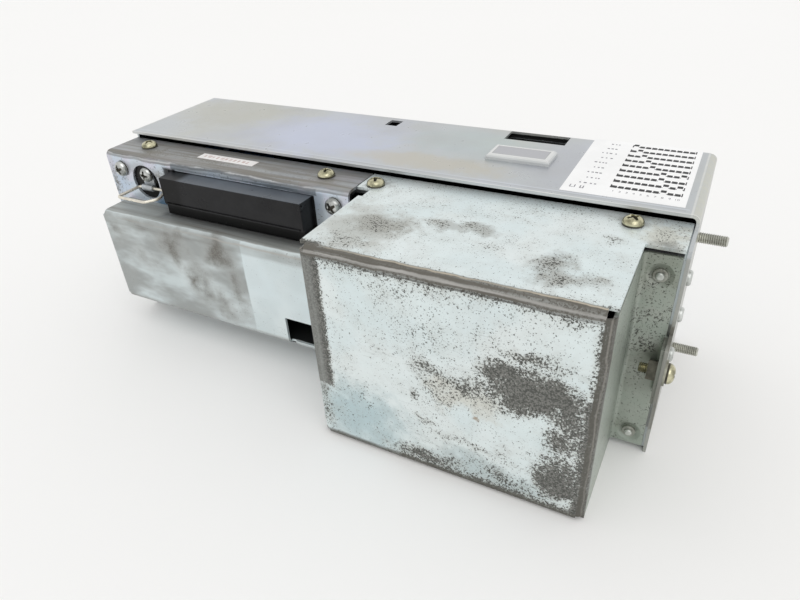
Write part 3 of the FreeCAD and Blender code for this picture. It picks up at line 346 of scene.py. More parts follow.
# Lower cover: pale blue at its right end, cloudy grey over the rest
lowerLook = {
    "clean": (0.68, 0.765, 0.785), "tint": (0.72, 0.79, 0.80), "tintTwo": (0.62, 0.70, 0.715),
    "shade": (0.46, 0.475, 0.46), "worn": (0.15, 0.145, 0.13), "wornTwo": (0.22, 0.215, 0.195),
    "dirt": (0.13, 0.125, 0.115),
    "cloud": 26, "mottleScale": 62, "roughness": (0.38, 0.7), "metallic": 0.4, "wander": 34, "driftScale": 40,
    "push": 1.0, "mottle": 1.0, "pepper": 0.3, "edge": 0.2, "blend": 0.9, "shadeShare": 0.4,
    "speckCut": 0.90, "speckShare": 0.5,
    "patches": [
        ((-62, -38, 57), (17, 9, 15), 1.3), ((-53, -38, 42), (10, 9, 18), 0.9),
        ((-90, -38, 56), (11, 9, 18), 1.1),
        ((-80, -38, 38), (12, 9, 16), 1.0), ((-126, -38, 60), (14, 9, 12), 0.9),
        ((-108, -38, 46), (12, 9, 11), 0.9),
        ((-66, -38, 28), (10, 9, 12), 0.7),
    ],
    "solids": [((-150, -45, 63), (20, -36, 80), 3.0, 0.5)],
    "clouded": [
        {"low": (-150, -45, 5), "high": (-46.0, -36.5, 80), "soft": 0.8, "from": 0.38, "to": 0.58,
         "colour": (0.21, 0.21, 0.20), "share": 0.9},
        {"low": (-150, -45, 5), "high": (-46.0, -36.5, 80), "soft": 0.8, "from": -0.3, "to": 0.0,
         "colour": (0.46, 0.50, 0.50), "share": 0.35},
    ],
    "bends": [
        ((-150, -50, 60), (20, -36.0, 90), 5.0, (0.175, 0.168, 0.15), 0.85, "x", 1.6),
        ((-150, -36.9, 60), (20, -10, 90), 0.6, (0.22, 0.215, 0.195), 0.8, "x", 1.0),
        # painted shadow and painted reflection of the connector on the ledge
        ((-102, -35.0, 60), (20, -10, 90), 5.0, (0.07, 0.073, 0.075), 0.7, "x", 0.6),
        # painted highlight: light line along the top bend
        ((-150, -50, 64.9), (20, -36.6, 66.0), 0.4, (0.42, 0.40, 0.37), 0.4, "x", 2.2),
        # painted shade on the bottom bend, darker towards the bottom edge
        ((-150, -50, 0), (20, -36, 21), 2.4, (0.30, 0.30, 0.28), 0.6, "x", 1.6),
        ((-150, -50, 0), (20, -36, 18.2), 0.5, (0.10, 0.095, 0.085), 0.8, "x", 1.0),
        ((-150, -50, 0), (-132.6, -30, 70), 1.2, (0.26, 0.26, 0.24), 0.7, "z", 1.6),
        ((4.5, -50, 32), (20, -30, 70), 1.5, (0.24, 0.24, 0.22), 0.6, "z", 1.6),
        ((-9, -50, 56), (20, -30, 80), 5.0, (0.24, 0.235, 0.215), 0.6, "x", 1.2),
    ],
    "inside": [((-132.4, -37.0, 18.5), (8, -18, 66.5), 0.97)],
}
dress(zinc("lowerZinc", lowerLook), "lower_front_cover")

# Connector face sheet: rubbed brown-grey on its top flange, bluish below, with painted shade and reflections
# by the connector
frameLook = {
    "clean": (0.60, 0.67, 0.73), "tint": (0.52, 0.61, 0.73), "tintTwo": (0.66, 0.64, 0.74),
    "shade": (0.40, 0.40, 0.39), "worn": (0.17, 0.16, 0.145), "wornTwo": (0.28, 0.27, 0.25),
    "dirt": (0.07, 0.065, 0.055),
    "cloud": 60, "mottleScale": 110, "roughness": (0.32, 0.62), "metallic": 0.5, "wander": 12,
    "push": 1.2, "mottle": 1.3, "pepper": 1.6, "edge": 0.4, "blend": 0.4, "shadeShare": 0.6,
    "speckCut": 0.85, "speckShare": 0.6,
    "patches": [
        ((-75, -12, 91), (75, 10, 5), 0.5), ((-110, -14, 91), (24, 9, 5), 0.6),
        ((-20, -14, 91), (24, 9, 5), 0.5),
        ((-138, -21, 75), (4, 6, 30), 0.5), ((-106, -21, 82), (9, 6, 7), 0.5),
        ((-128, -21, 82), (6, 6, 6), 0.4),
        ((-6, -21, 82), (7, 6, 7), 0.4), ((-122, -8, 91), (6, 6, 5), 0.7), ((-16, -8, 91), (6, 6, 5), 0.7),
    ],
    "areas": [
        # painted reflection: blue patch low beside the connector
        {"at": (-103, -21, 66), "reach": (14, 6, 10), "colour": (0.10, 0.19, 0.30), "share": 0.95},
        # painted shade round the bail screw
        {"at": (-116, -21, 84), "reach": (16, 6, 6), "colour": (0.36, 0.38, 0.40), "share": 0.6},
    ],
    "bends": [
        ((-150, -20.3, 88.9), (20, 20, 120), 0.5, (0.20, 0.19, 0.168), 0.8, "x", 1.5),
        ((-150, -14, 88.9), (20, 20, 120), 3.0, (0.15, 0.142, 0.13), 0.35, "x", 1.2),
        # painted shade: near black beside the connector's left end
        ((-102.5, -40, 69), (-93, -19, 88.5), 1.6, (0.015, 0.015, 0.017), 0.9, "z", 0.6),
        ((-150, -40, 88.6), (20, -19.6, 120), 0.5, (0.17, 0.16, 0.145), 0.65, "x", 2.0),
        # painted highlight: light line along the flange bend
        ((-150, -40, 89.6), (20, -20.2, 90.4), 0.3, (0.72, 0.74, 0.74), 0.35, "x", 2.4),
        # painted reflection: dark strip of face sheet above the connector
        ((-97, -40, 86.8), (-14, -19, 90.2), 0.8, (0.10, 0.12, 0.14), 0.55, "x", 2.6),
        ((-150, -40, 0), (-139.2, 20, 120), 0.4, (0.20, 0.19, 0.17), 0.7, "z", 1.0),
    ],
    "inside": [((-137.5, -20.1, 59), (1.3, 6, 89.8), 0.95)],
}
dress(zinc("frameZinc", frameLook), "front_frame")

# Top cover and end plate: dull grey plate with faint rainbow clouds and painted highlight lines on its edges
coverLook = {
    "clean": (0.50, 0.525, 0.54), "tint": (0.51, 0.52, 0.49), "tintTwo": (0.52, 0.55, 0.62),
    "shade": (0.42, 0.42, 0.40), "worn": (0.22, 0.21, 0.195), "wornTwo": (0.36, 0.36, 0.34),
    "dirt": (0.14, 0.135, 0.13),
    "cloud": 17, "mottleScale": 120, "roughness": (0.30, 0.6), "metallic": 0.55, "wander": 16, "flow": 8,
    "waver": 0.3,
    "push": 1.0, "mottle": 0.8, "pepper": 1.0, "edge": 0.45, "blend": 0.3, "shadeShare": 0.35,
    "speckCut": 0.88, "speckShare": 0.35,
    "patches": [((130, -20, 8), (3, 8, 12), 0.6), ((131, 30, 60), (3, 40, 30), 0.4)],
    "areas": [
        {"at": (-105, 45, 94.5), "reach": (50, 40, 30), "colour": (0.47, 0.47, 0.42), "share": 0.8},
        {"at": (-40, 25, 94.5), "reach": (60, 40, 30), "colour": (0.52, 0.56, 0.70), "share": 0.8},
        {"at": (22, 12, 94.5), "reach": (55, 12, 30), "colour": (0.52, 0.48, 0.38), "share": 0.6},
        {"at": (30, 40, 94.5), "reach": (40, 26, 30), "colour": (0.46, 0.54, 0.53), "share": 0.6},
        {"at": (80, 30, 94.5), "reach": (30, 40, 30), "colour": (0.46, 0.475, 0.52), "share": 0.6},
    ],
    "clouded": [
        {"low": (-150, -5, 90), "high": (127, 70, 99), "soft": 2.0, "from": 0.42, "to": 0.7,
         "colour": (0.42, 0.425, 0.43), "share": 0.5},
        {"low": (127, -40, -9), "high": (140, 62, 89), "soft": 1.5, "from": -0.3, "to": 0.0,
         "colour": (0.34, 0.345, 0.31), "share": 0.8},
    ],
    "bends": [
        # painted highlights: the light strip and line on the right bend
        ((127.2, -5, 91.6), (140, 80, 120), 0.3, (0.58, 0.58, 0.51), 0.7, "x", 1.4),
        ((126.4, -5, 93), (127.4, 80, 120), 0.3, (0.74, 0.74, 0.70), 0.6, "x", 0.8),
        # painted highlight and shade lines along the rolled front edge
        ((-150, 1.4, 80), (126, 2.6, 120), 0.4, (0.66, 0.70, 0.76), 0.4, "x", 1.4),
        ((-150, -5, 80), (140, -0.6, 120), 0.4, (0.80, 0.80, 0.77), 0.35, "x", 2.0),
        ((-150, 0.2, 80), (125, 1.6, 120), 0.5, (0.34, 0.34, 0.36), 0.3, "x", 2.0),
        # painted highlight: light line along the left edge
        ((-150, -5, 80), (-138.9, 80, 120), 0.4, (0.72, 0.71, 0.66), 0.4, "x", 2.0),
        ((126, -40, 12), (140, -18, 62), 1.2, (0.19, 0.185, 0.16), 0.75, "z", 1.8),
        ((126, -40, 12), (140, -31.9, 62), 0.4, (0.50, 0.50, 0.46), 0.5, "z", 1.8),
    ],
    "inside": [((-141, -1.5, 0), (128.95, 61.8, 93.5), 0.96)],
}
dress(zinc("coverZinc", coverLook), "top_cover")

chassisLook = {
    "clean": (0.60, 0.67, 0.68), "tint": (0.54, 0.59, 0.59), "tintTwo": (0.56, 0.60, 0.66),
    "shade": (0.40, 0.40, 0.39), "worn": (0.17, 0.165, 0.15), "wornTwo": (0.28, 0.28, 0.26),
    "dirt": (0.08, 0.075, 0.065),
    "cloud": 24, "mottleScale": 110, "roughness": (0.36, 0.66), "metallic": 0.45, "wander": 26,
    "push": 1.5, "mottle": 1.4, "pepper": 3.0, "edge": 0.6, "blend": 0.2, "shadeShare": 0.5,
    "speckCut": 0.86, "speckShare": 0.7,
    "patches": [
        ((-139, 20, 45), (4, 34, 32), 0.5), ((-60, 62, 50), (40, 6, 25), 0.6),
        ((60, 62, 40), (34, 6, 20), 0.5),
        ((0, 20, 0), (120, 40, 3), 0.6), ((-118, 62, 30), (20, 6, 20), 0.4),
    ],
    "bends": [
        ((-150, -30, -9), (-138.6, 80, 2.0), 0.6, (0.16, 0.155, 0.14), 0.7, "x", 1.0),
        ((-150, 61.4, -9), (150, 80, 2.0), 0.6, (0.16, 0.155, 0.14), 0.7, "x", 1.0),
        ((-150, -30, -9), (150, -18.6, 2.0), 0.6, (0.16, 0.155, 0.14), 0.7, "x", 1.0),
        ((126, -40, 12), (140, -18, 62), 1.2, (0.19, 0.185, 0.16), 0.75, "z", 1.8),
    ],
    "inside": [((-137.9, -21, 1.3), (128, 61.4, 93), 0.96), ((-60, -22, 17), (126, -18, 91), 0.96)],
}
dress(zinc("chassisZinc", chassisLook), "chassis")
print("sheet finishes done")

# Connector: black plastic, sheen on its top, dark behind the lip and at its left end
connectorLook = {
    "base": (0.010, 0.010, 0.011), "other": (0.016, 0.016, 0.017), "topSheen": (0.10, 0.115, 0.135),
    "shadow": (0.002, 0.002, 0.002), "dust": (0.2, 0.2, 0.2), "dustShare": 0.35, "roughness": 0.30,
    "specular": 0.18, "top": 86.15, "left": -87.0, "leftFade": 5, "lip": 73.3}
f = Finish("connectorBlack")
f.shader.inputs["Specular IOR Level"].default_value = connectorLook["specular"]
smear = f.noise(70, 4, 0.6)
upward = f.add("ShaderNodeSeparateXYZ", None, {0: f.here}, 2)
along = f.add("ShaderNodeSeparateXYZ", None, {0: f.here}, 0)
top, left, lip = [connectorLook[key] * mm for key in ("top", "left", "lip")]
colour = f.blend(f.step(smear, 0.4, 0.65), connectorLook["base"], connectorLook["other"])
colour = f.blend((1 - f.step(upward, lip - 0.4 * mm, lip)) * 0.9, colour, connectorLook["shadow"])
topShare = f.step(upward, top, top + 0.2 * mm) * (0.55 + smear * 0.7)
colour = f.blend(topShare, colour, connectorLook["topSheen"])
colour = f.blend((1 - f.step(along, left, left + connectorLook["leftFade"] * mm)) * 0.95, colour,
                 connectorLook["shadow"])
dust = f.specks(520, 0.14, f.step(f.noise(60, 2), 0.5, 0.65))
colour = f.blend(dust * connectorLook["dustShare"], colour, connectorLook["dust"])
roughness = connectorLook["roughness"] + (smear - 0.5) * 0.25
dress(f.done(colour, roughness, height=smear + f.noise(900, 2) * 0.3, bump=0.05),
      "connector_housing", "connector_cap")

# Each finish of the smaller pieces, and the pieces that wear it
smallLooks = {
    "contactGold": ({"base": (0.78, 0.56, 0.22), "other": (0.70, 0.52, 0.25), "roughness": 0.28,
                     "metallic": 1.0}, ["connector_contacts"]),
    "bracketSteel": ({"base": (0.58, 0.62, 0.66), "other": (0.42, 0.44, 0.46), "roughness": 0.33,
                      "metallic": 0.8, "grimeShare": 0.7}, ["bail_bracket"]),
    "bailSteel": ({"base": (0.80, 0.76, 0.66), "other": (0.66, 0.62, 0.54), "roughness": 0.3,
                   "metallic": 0.7, "grimeShare": 0.35, "grime": (0.16, 0.14, 0.11)}, ["bail_wire"]),
    "darkSteel": ({"base": (0.07, 0.068, 0.052), "other": (0.15, 0.145, 0.115), "roughness": 0.42,
                   "metallic": 0.7, "grimeShare": 0.8}, ["clamp_nut"]),
    "rivetZinc": ({"base": (0.66, 0.68, 0.66), "other": (0.50, 0.52, 0.50), "roughness": 0.3,
                   "metallic": 0.85, "grimeShare": 0.5}, ["end_rivets"]),
    "washerZinc": ({"base": (0.42, 0.41, 0.33), "other": (0.30, 0.30, 0.25), "roughness": 0.34,
                    "metallic": 0.85, "grimeShare": 0.6}, ["clamp_washer"]),
    "studZinc": ({"base": (0.62, 0.64, 0.60), "other": (0.42, 0.44, 0.41), "roughness": 0.3,
                  "metallic": 0.8, "grimeShare": 0.5}, ["box_studs"]),
    "collarZinc": ({"base": (0.34, 0.35, 0.31), "other": (0.20, 0.20, 0.17), "roughness": 0.38,
                    "metallic": 0.7, "grimeShare": 0.9}, ["box_collars"]),
    "switchBlack": ({"base": (0.015, 0.015, 0.016), "other": (0.03, 0.03, 0.03), "roughness": 0.4,
                     "grime": (0.12, 0.11, 0.1)}, ["dip_switch_body", "switch_header", "processor_chip",
                                                   "memory_chip", "regulator"]),
    "sliderWhite": ({"base": (0.80, 0.80, 0.77), "other": (0.72, 0.72, 0.68), "roughness": 0.42},
                    ["dip_slider_%d" % way for way in range(1, 11)]),
    "boardGreen": ({"base": (0.02, 0.12, 0.06), "other": (0.03, 0.17, 0.08), "roughness": 0.35, "scale": 90},
                   ["main_board", "switch_board", "power_board"]),
    "relayBlue": ({"base": (0.04, 0.12, 0.34), "other": (0.05, 0.15, 0.40), "roughness": 0.32}, ["relays"]),
    "terminalGrey": ({"base": (0.24, 0.25, 0.25), "other": (0.30, 0.31, 0.31), "roughness": 0.5},
                     ["terminal_block"]),
    "capacitorSleeve": ({"base": (0.03, 0.04, 0.09), "other": (0.04, 0.05, 0.12), "roughness": 0.3},
                        ["smoothing_capacitors"]),
    "sinkAluminium": ({"base": (0.62, 0.63, 0.64), "other": (0.52, 0.53, 0.54), "roughness": 0.36,
                       "metallic": 0.95}, ["heat_sink"]),
    "coreSteel": ({"base": (0.16, 0.15, 0.15), "other": (0.24, 0.22, 0.20), "roughness": 0.55,
                   "metallic": 0.6, "grime": (0.20, 0.10, 0.05)}, ["transformer_core"]),
    "windingTape": ({"base": (0.55, 0.38, 0.08), "other": (0.62, 0.45, 0.12), "roughness": 0.38},
                    ["transformer_winding"]),
    "insideSteel": ({"base": (0.55, 0.58, 0.58), "other": (0.44, 0.46, 0.46), "roughness": 0.36,
                     "metallic": 0.85}, ["main_pillars", "power_pillars", "main_board_screws",
                                         "power_board_screws", "fuse_clips", "transformer_bracket"]),
}
for name, (look, wearers) in smallLooks.items():
    dress(plain(name, look), *wearers)
dress(plain("fuseGlass", {"base": (0.80, 0.85, 0.84), "other": (0.74, 0.80, 0.78), "roughness": 0.18,
                          "grimeShare": 0.2}, Transmission_Weight=0.7, IOR=1.5), "fuse_link")

# Clear pad: a bevelled slip of clear plastic, lighter at its rim, with a dark line inside it and a greyer
# middle
padLook = {"base": (0.66, 0.68, 0.68), "other": (0.72, 0.74, 0.74), "rim": (0.86, 0.87, 0.86),
           "line": (0.34, 0.345, 0.35), "middle": (0.50, 0.505, 0.54), "rimWide": 2.0, "lineWide": 0.35,
           "rimIn": 0.4, "roughness": 0.16, "clear": 0.2}
f = Finish("clearPlastic", Transmission_Weight=padLook["clear"], IOR=1.49)
padLow, padHigh = [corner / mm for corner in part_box("clear_pad")]
haze = f.noise(90, 4, 0.6)
colour = f.blend(f.step(haze, 0.38, 0.66), padLook["base"], padLook["other"])
for inset, shade in ((padLook["rimIn"], padLook["rim"]), (padLook["rimWide"], padLook["line"]),
                     (padLook["rimWide"] + padLook["lineWide"], padLook["middle"])):
    low, high = padLow + Vector((inset, inset, -5)), padHigh + Vector((-inset, -inset, 5))
    colour = f.blend(f.room(f.here, low, high, 0.25) * (0.85 + (haze - 0.5) * 0.5), colour, shade)
roughness = padLook["roughness"] + (haze - 0.5) * 0.25
dress(f.done(colour, roughness, height=haze + f.noise(600, 2) * 0.2, bump=0.05), "clear_pad")

# Printed slips
paperLook = {"base": (0.93, 0.93, 0.93), "other": (0.88, 0.88, 0.88), "roughness": 0.55, "scale": 40,
             "grime": (0.70, 0.70, 0.69), "grimeShare": 0.12, "bump": 0.04}
dress(plain("labelWhite", paperLook), "setting_label")
tagLook = dict(paperLook, base=(0.80, 0.79, 0.78), other=(0.70, 0.66, 0.65), grimeShare=0.4,
               grime=(0.42, 0.34, 0.33))
dress(plain("tagWhite", tagLook), "front_tag")
print("small finishes done")


class Shape:
    # Collects points and faces in millimetres, then becomes one object
    def __init__(self):
        self.points = []
        self.faces = []
        self.dark = set()       # faces that take the second material, the painted recess shade

    def rings(self, rows, closeEnds=True):
        first = len(self.points)
        count = len(rows[0])
        for row in rows:
            self.points.extend(row)
        for r in range(len(rows) - 1):
            for k in range(count):
                a = first + r * count + k
                b = first + r * count + (k + 1) % count
                self.faces.append((a, b, b + count, a + count))
        if closeEnds:
            self.faces.append(tuple(range(first + count - 1, first - 1, -1)))
            last = first + (len(rows) - 1) * count
            self.faces.append(tuple(range(last, last + count)))

    def slab(self, x0, x1, y0, y1, z0, z1):
        corners = ((x0, y0), (x1, y0), (x1, y1), (x0, y1))
        self.rings([[Vector((x, y, z)) for x, y in corners] for z in (z0, z1)])

    def object(self, name, material, body="root", sharp=32, darkMaterial=None):
        mesh = bpy.data.meshes.new(name)
        mesh.from_pydata([p * mm for p in self.points], [], self.faces)
        mesh.shade_smooth()
        mesh.set_sharp_from_angle(angle=math.radians(sharp))
        mesh.materials.append(material)
        if darkMaterial:
            mesh.materials.append(darkMaterial)
            for index in self.dark:
                mesh.polygons[index].material_index = 1
        piece = bpy.data.objects.new(name, mesh)
        bpy.context.scene.collection.objects.link(piece)
        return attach(piece, body)


def axesFor(axis):
    along = Vector(axis).normalized()
    side = along.orthogonal().normalized()
    return side, along.cross(side), along


def thread(shape, base, axis, radius, start, length, pitch=0.7, chamfer=0.5, around=32):
    # Turned thread whose last stretch tapers off; its roots take the dark material, a painted shade
    side, up, along = axesFor(axis)
    stepsPerTurn, depth, rootDepth = 8, pitch * 0.5, pitch * 0.42
    steps = max(stepsPerTurn, int(length / pitch * stepsPerTurn))
    rows = []
    for i in range(steps + 1):
        s = length * i / steps
        limit = radius - max(0.0, s - (length - chamfer)) * 0.9
        row = []
        for k in range(around):
            turn = 2 * math.pi * k / around
            phase = (s / pitch - k / around) % 1
            r = min(limit, radius - depth * (1 - abs(2 * phase - 1)))
            outward = side * math.cos(turn) + up * math.sin(turn)
            row.append(Vector(base) + along * (start + s) + outward * r)
        rows.append(row)
    firstFace = len(shape.faces)
    shape.rings(rows)
    for i in range(steps):
        for k in range(around):
            a, b = rows[i][k] - Vector(base), rows[i + 1][k] - Vector(base)
            deep = ((a - along * a.dot(along)).length + (b - along * b.dot(along)).length) / 2
            if deep < radius - rootDepth and length * i / steps < length - chamfer:
                shape.dark.add(firstFace + i * around + k)


# Pan head as shares of its radius and height: recess arms, how flat the dome is and how deep the recess
headShape = {"armHalf": 0.58, "armWide": 0.13, "rim": 0.24, "dome": 0.76, "round": 3.0, "fullness": 0.6,
             "depth": 0.62, "depthLoss": 0.26, "cells": 60, "foot": 0.985}


def panHead(shape, base, axis, radius, height, turn):
    # Domed head with a tapered cross recess, laid out as a square grid pulled into a disc
    side, up, along = axesFor(axis)
    armHalf = radius * headShape["armHalf"]
    armWide = radius * headShape["armWide"]
    cells = headShape["cells"]
    rowLength = cells + 1
    first = len(shape.points)

    def level(x, y):
        r = math.hypot(x, y) / radius
        bulge = max(0.0, 1 - r ** headShape["round"]) ** headShape["fullness"]
        dome = height * (headShape["rim"] + headShape["dome"] * bulge)
        c, s = math.cos(turn), math.sin(turn)
        u, v = abs(x * c + y * s), abs(y * c - x * s)
        near, far = min(u, v), max(u, v)
        across = min(1, max(0, (armWide * (1.35 - 0.5 * far / armHalf) - near) / 0.14 + 0.5))
        end = min(1, max(0, (armHalf - far) / 0.3 + 0.5))
        sunk = height * (headShape["depth"] - headShape["depthLoss"] * far / armHalf)
        return dome - across * end * sunk, across * end

    deep = []
    for j in range(rowLength):
        for i in range(rowLength):
            a, b = 2 * i / cells - 1, 2 * j / cells - 1
            x, y = radius * a * math.sqrt(1 - b * b / 2), radius * b * math.sqrt(1 - a * a / 2)
            rise, share = level(x, y)
            deep.append(share)
            shape.points.append(Vector(base) + side * x + up * y + along * rise)
    for j in range(cells):
        for i in range(cells):
            a = first + j * rowLength + i
            # faces in the cross recess take the painted shade
            if deep[a - first] + deep[a - first + rowLength + 1] > 0.9:
                shape.dark.add(len(shape.faces))
            shape.faces.append((a, a + 1, a + rowLength + 1, a + rowLength))
    rim = ([first + i for i in range(cells)] + [first + cells + j * rowLength for j in range(cells)]
           + [first + cells * rowLength + cells - i for i in range(cells)]
           + [first + (cells - j) * rowLength for j in range(cells)])
    foot = len(shape.points)
    for index in rim:
        point = shape.points[index] - Vector(base)
        flat = point - along * point.dot(along)
        shape.points.append(Vector(base) + flat * headShape["foot"])
    count = len(rim)
    for k in range(count):
        n = (k + 1) % count
        # the rim wall takes the painted shade
        shape.dark.add(len(shape.faces))
        shape.faces.append((rim[n], rim[k], foot + k, foot + n))
    shape.faces.append(tuple(foot + k for k in range(count)))


# Screws: where each stands, the surface it stands on, its head and its shank
random.seed(5)
screwSets = {
    "flange_screws": {
        "places": [(-120.9, -9.1, 90.9), (-16.4, -9.5, 90.9), (8.4, -10.4, 90.9), (109.3, -8.1, 90.9)],
        "axis": (0, 0, 1), "radius": 3.8, "height": 2.9, "shank": 2.0, "length": 6.0, "slot": "yellow_zinc"},
    "front_screws": {
        "places": [(-129.9, -21.2, 83.1), (-6.0, -21.2, 83.8)],
        "axis": (0, -1, 0), "radius": 3.8, "height": 2.9, "shank": 2.0, "length": 6.0, "slot": "silver_zinc"},
    "lower_cover_screws": {
        "places": [(-118.0, -21.2, 12.5), (-60.0, -21.2, 12.5), (-6.0, -21.2, 12.5)],
        "axis": (0, -1, 0), "radius": 3.0, "height": 2.2, "shank": 1.5, "length": 6.0, "slot": "silver_zinc"},
    "back_screws": {
        "places": [(-118.0, 62.9, 87.7), (-5.0, 62.9, 87.7), (108.0, 62.9, 87.7)],
        "axis": (0, 1, 0), "radius": 3.8, "height": 2.2, "shank": 2.0, "length": 6.0, "slot": "silver_zinc"},
    "bail_screw": {
        "places": [(-114.0, -20.8, 82.0)],
        "axis": (0, -1, 0), "radius": 3.6, "height": 2.5, "shank": 1.5, "length": 2.6, "slot": "silver_zinc"},
    "clamp_screw": {
        "places": [(130.8, -26.2, 45.0)],
        "axis": (1, 0, 0), "radius": 3.8, "height": 2.9, "shank": 2.0, "length": 9.4, "slot": "yellow_zinc"},
}
yellowLook = {"base": (0.62, 0.59, 0.41), "other": (0.24, 0.23, 0.15), "roughness": 0.2, "metallic": 0.95,
              "scale": 260, "grimeShare": 0.6, "grime": (0.10, 0.09, 0.05), "bump": 0.1}
silverLook = {"base": (0.62, 0.63, 0.61), "other": (0.30, 0.31, 0.30), "roughness": 0.22, "metallic": 0.95,
              "scale": 260, "grimeShare": 0.7, "bump": 0.1}
# Painted shade for the cross recesses, head rim walls and thread roots
recessShadeLook = {"base": (0.05, 0.045, 0.035), "other": (0.12, 0.11, 0.08), "roughness": 0.5, "metallic": 0.5,
            "scale": 260, "grimeShare": 0.7, "bump": 0.1}
screwFinishes = {"yellow_zinc": plain("screwYellow", yellowLook),
                 "silver_zinc": plain("screwSilver", silverLook)}
recessShade = plain("recessShade", recessShadeLook)
for name, screws in screwSets.items():
    shape = Shape()
    back = Vector(screws["axis"]) * -1
    for place in screws["places"]:
        panHead(shape, place, screws["axis"], screws["radius"], screws["height"], random.uniform(0, 1.5))
        pitch = 0.7 if screws["shank"] > 1.7 else 0.5
        thread(shape, place, back, screws["shank"], 0.0, screws["length"], pitch)
    piece = shape.object(name + "_turned", screwFinishes[screws["slot"]], darkMaterial=recessShade)
    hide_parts(name)
print("screws done")

# Mounting studs: clinched into the end plate, thread standing out of it
studs = {"places": [(3.0, 84.4), (13.0, 29.0)], "plate": 130.0, "sheet": 1.2, "radius": 2.0, "reach": 10.0,
         "shoulder": 2.2, "headRadius": 3.4, "headHeight": 1.2, "chamfer": 0.6, "around": 32,
         "threadAround": 36, "lift": 0.1}
headBack, sheetBack = -studs["sheet"] - studs["headHeight"], -studs["sheet"]
profile = ((headBack, studs["headRadius"] - 0.2), (headBack + 0.2, studs["headRadius"]),
           (sheetBack, studs["headRadius"]), (sheetBack, studs["shoulder"]),
           (0.0, studs["shoulder"]), (0.25, studs["radius"] - 0.15))
turns = [2 * math.pi * k / studs["around"] for k in range(studs["around"])]
shape = Shape()
for y, z in studs["places"]:
    shape.rings([[Vector((studs["plate"] + x, y + r * math.cos(a), z + r * math.sin(a))) for a in turns]
                 for x, r in profile])
    thread(shape, (studs["plate"], y, z), (1, 0, 0), studs["radius"], studs["lift"],
           studs["reach"] - studs["lift"], 0.7, studs["chamfer"], studs["threadAround"])
studLook = {"base": (0.62, 0.62, 0.56), "other": (0.46, 0.46, 0.42), "roughness": 0.3, "metallic": 0.9,
            "scale": 260, "grimeShare": 0.6, "grime": (0.08, 0.075, 0.06), "bump": 0.06}
piece = shape.object("stud_threads", plain("studSteel", studLook), darkMaterial=recessShade)
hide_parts("mounting_studs")
print("studs done")

# Printed setting table: rows of switch symbols, each raised where that switch is on
table = {"left": 97.0, "columns": 10, "columnStep": 2.475, "back": 57.6, "rowStep": 5.62, "print": 0.03,
         "on": [[1], [2], [3], [4], [5], [7, 10], [7], [8, 10], [8]], "barWide": 1.95, "barDeep": 2.1,
         "inset": 0.2, "lift": 1.7, "barFront": 1.0, "tie": (0.55, 0.2), "endWide": (0.45, 0.4),
         "endTall": (1.0, 1.9), "numberY": 8.0, "numberSize": 1.9}
ink = plain("printInk", {"base": (0.004, 0.004, 0.005), "other": (0.012, 0.012, 0.014), "roughness": 0.5,
                         "grime": (0.2, 0.2, 0.2), "grimeShare": 0.15, "scale": 300, "bump": 0.03})
faintInk = plain("faintInk", {"base": (0.20, 0.20, 0.22), "other": (0.30, 0.30, 0.32), "roughness": 0.55,
                              "grime": (0.6, 0.6, 0.6), "grimeShare": 0.3, "scale": 400, "bump": 0.03})
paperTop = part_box("setting_label")[1].z / mm
low, high = paperTop, paperTop + table["print"]
shape = Shape()
for row, on in enumerate(table["on"]):
    y = table["back"] - row * table["rowStep"]
    for column in range(table["columns"]):
        x = table["left"] + column * table["columnStep"] + table["inset"]
        front = y + (table["lift"] if column + 1 in on else 0.0) - table["barFront"]
        shape.slab(x, x + table["barWide"], front, front + table["barDeep"], low, high)
        shape.slab(x + table["barWide"], x + table["columnStep"], y - table["tie"][0], y - table["tie"][1],
                   low, high)
    left, right = table["left"] - 0.25, table["left"] + table["columns"] * table["columnStep"]
    for x, wide in ((left, table["endWide"][0]), (right, table["endWide"][1])):
        shape.slab(x, x + wide, y - table["endTall"][0], y + table["endTall"][1], low, high)
shape.object("table_symbols", ink)

captions = {
    "rows": [(88.0, 92.2), (87.4, 91.4), (86.4, 92.0), (87.2, 91.4), (85.8, 91.6), (86.8, 90.8), (85.6, 92.0),
             (86.6, 91.2), (85.2, 92.2)],
    "dash": (0.5, 1.1), "gap": (0.5, 1.3), "front": 0.5, "back": 0.45,
    "uprights": {"at": (82.6, 84.3, 86.4, 87.5), "wide": 0.4, "from": 7.2, "to": 9.6},
    "feet": {"at": (82.6, 86.4), "wide": 1.5, "from": 7.2, "to": 7.55}}
shape = Shape()
for row, (at, stop) in enumerate(captions["rows"]):
    y = table["back"] - row * table["rowStep"]
    while at < stop:
        dash = random.uniform(*captions["dash"])
        shape.slab(at, at + dash, y - captions["front"], y + captions["back"], low, high)
        at += dash + random.uniform(*captions["gap"])
for bars in (captions["uprights"], captions["feet"]):
    for at in bars["at"]:
        shape.slab(at, at + bars["wide"], bars["from"], bars["to"], low, high)
shape.object("table_captions", faintInk)


def numberMesh(shape, words, x, y, z, size):
    curve = bpy.data.curves.new("number", "FONT")
    curve.body = words
    curve.size = size
    curve.align_x = "CENTER"
    holder = bpy.data.objects.new("number", curve)
    flat = bpy.data.meshes.new_from_object(holder)
    first = len(shape.points)
    for v in flat.vertices:
        shape.points.append(Vector((x + v.co.x, y + v.co.y, z)))
    for face in flat.polygons:
        shape.faces.append(tuple(first + i for i in face.vertices))
    bpy.data.objects.remove(holder)
    bpy.data.curves.remove(curve)
    bpy.data.meshes.remove(flat)


shape = Shape()
for column in range(table["columns"]):
    middle = table["left"] + (column + 0.6) * table["columnStep"]
    numberMesh(shape, str(column + 1), middle, table["numberY"], high, table["numberSize"])
shape.object("table_numbers", faintInk)

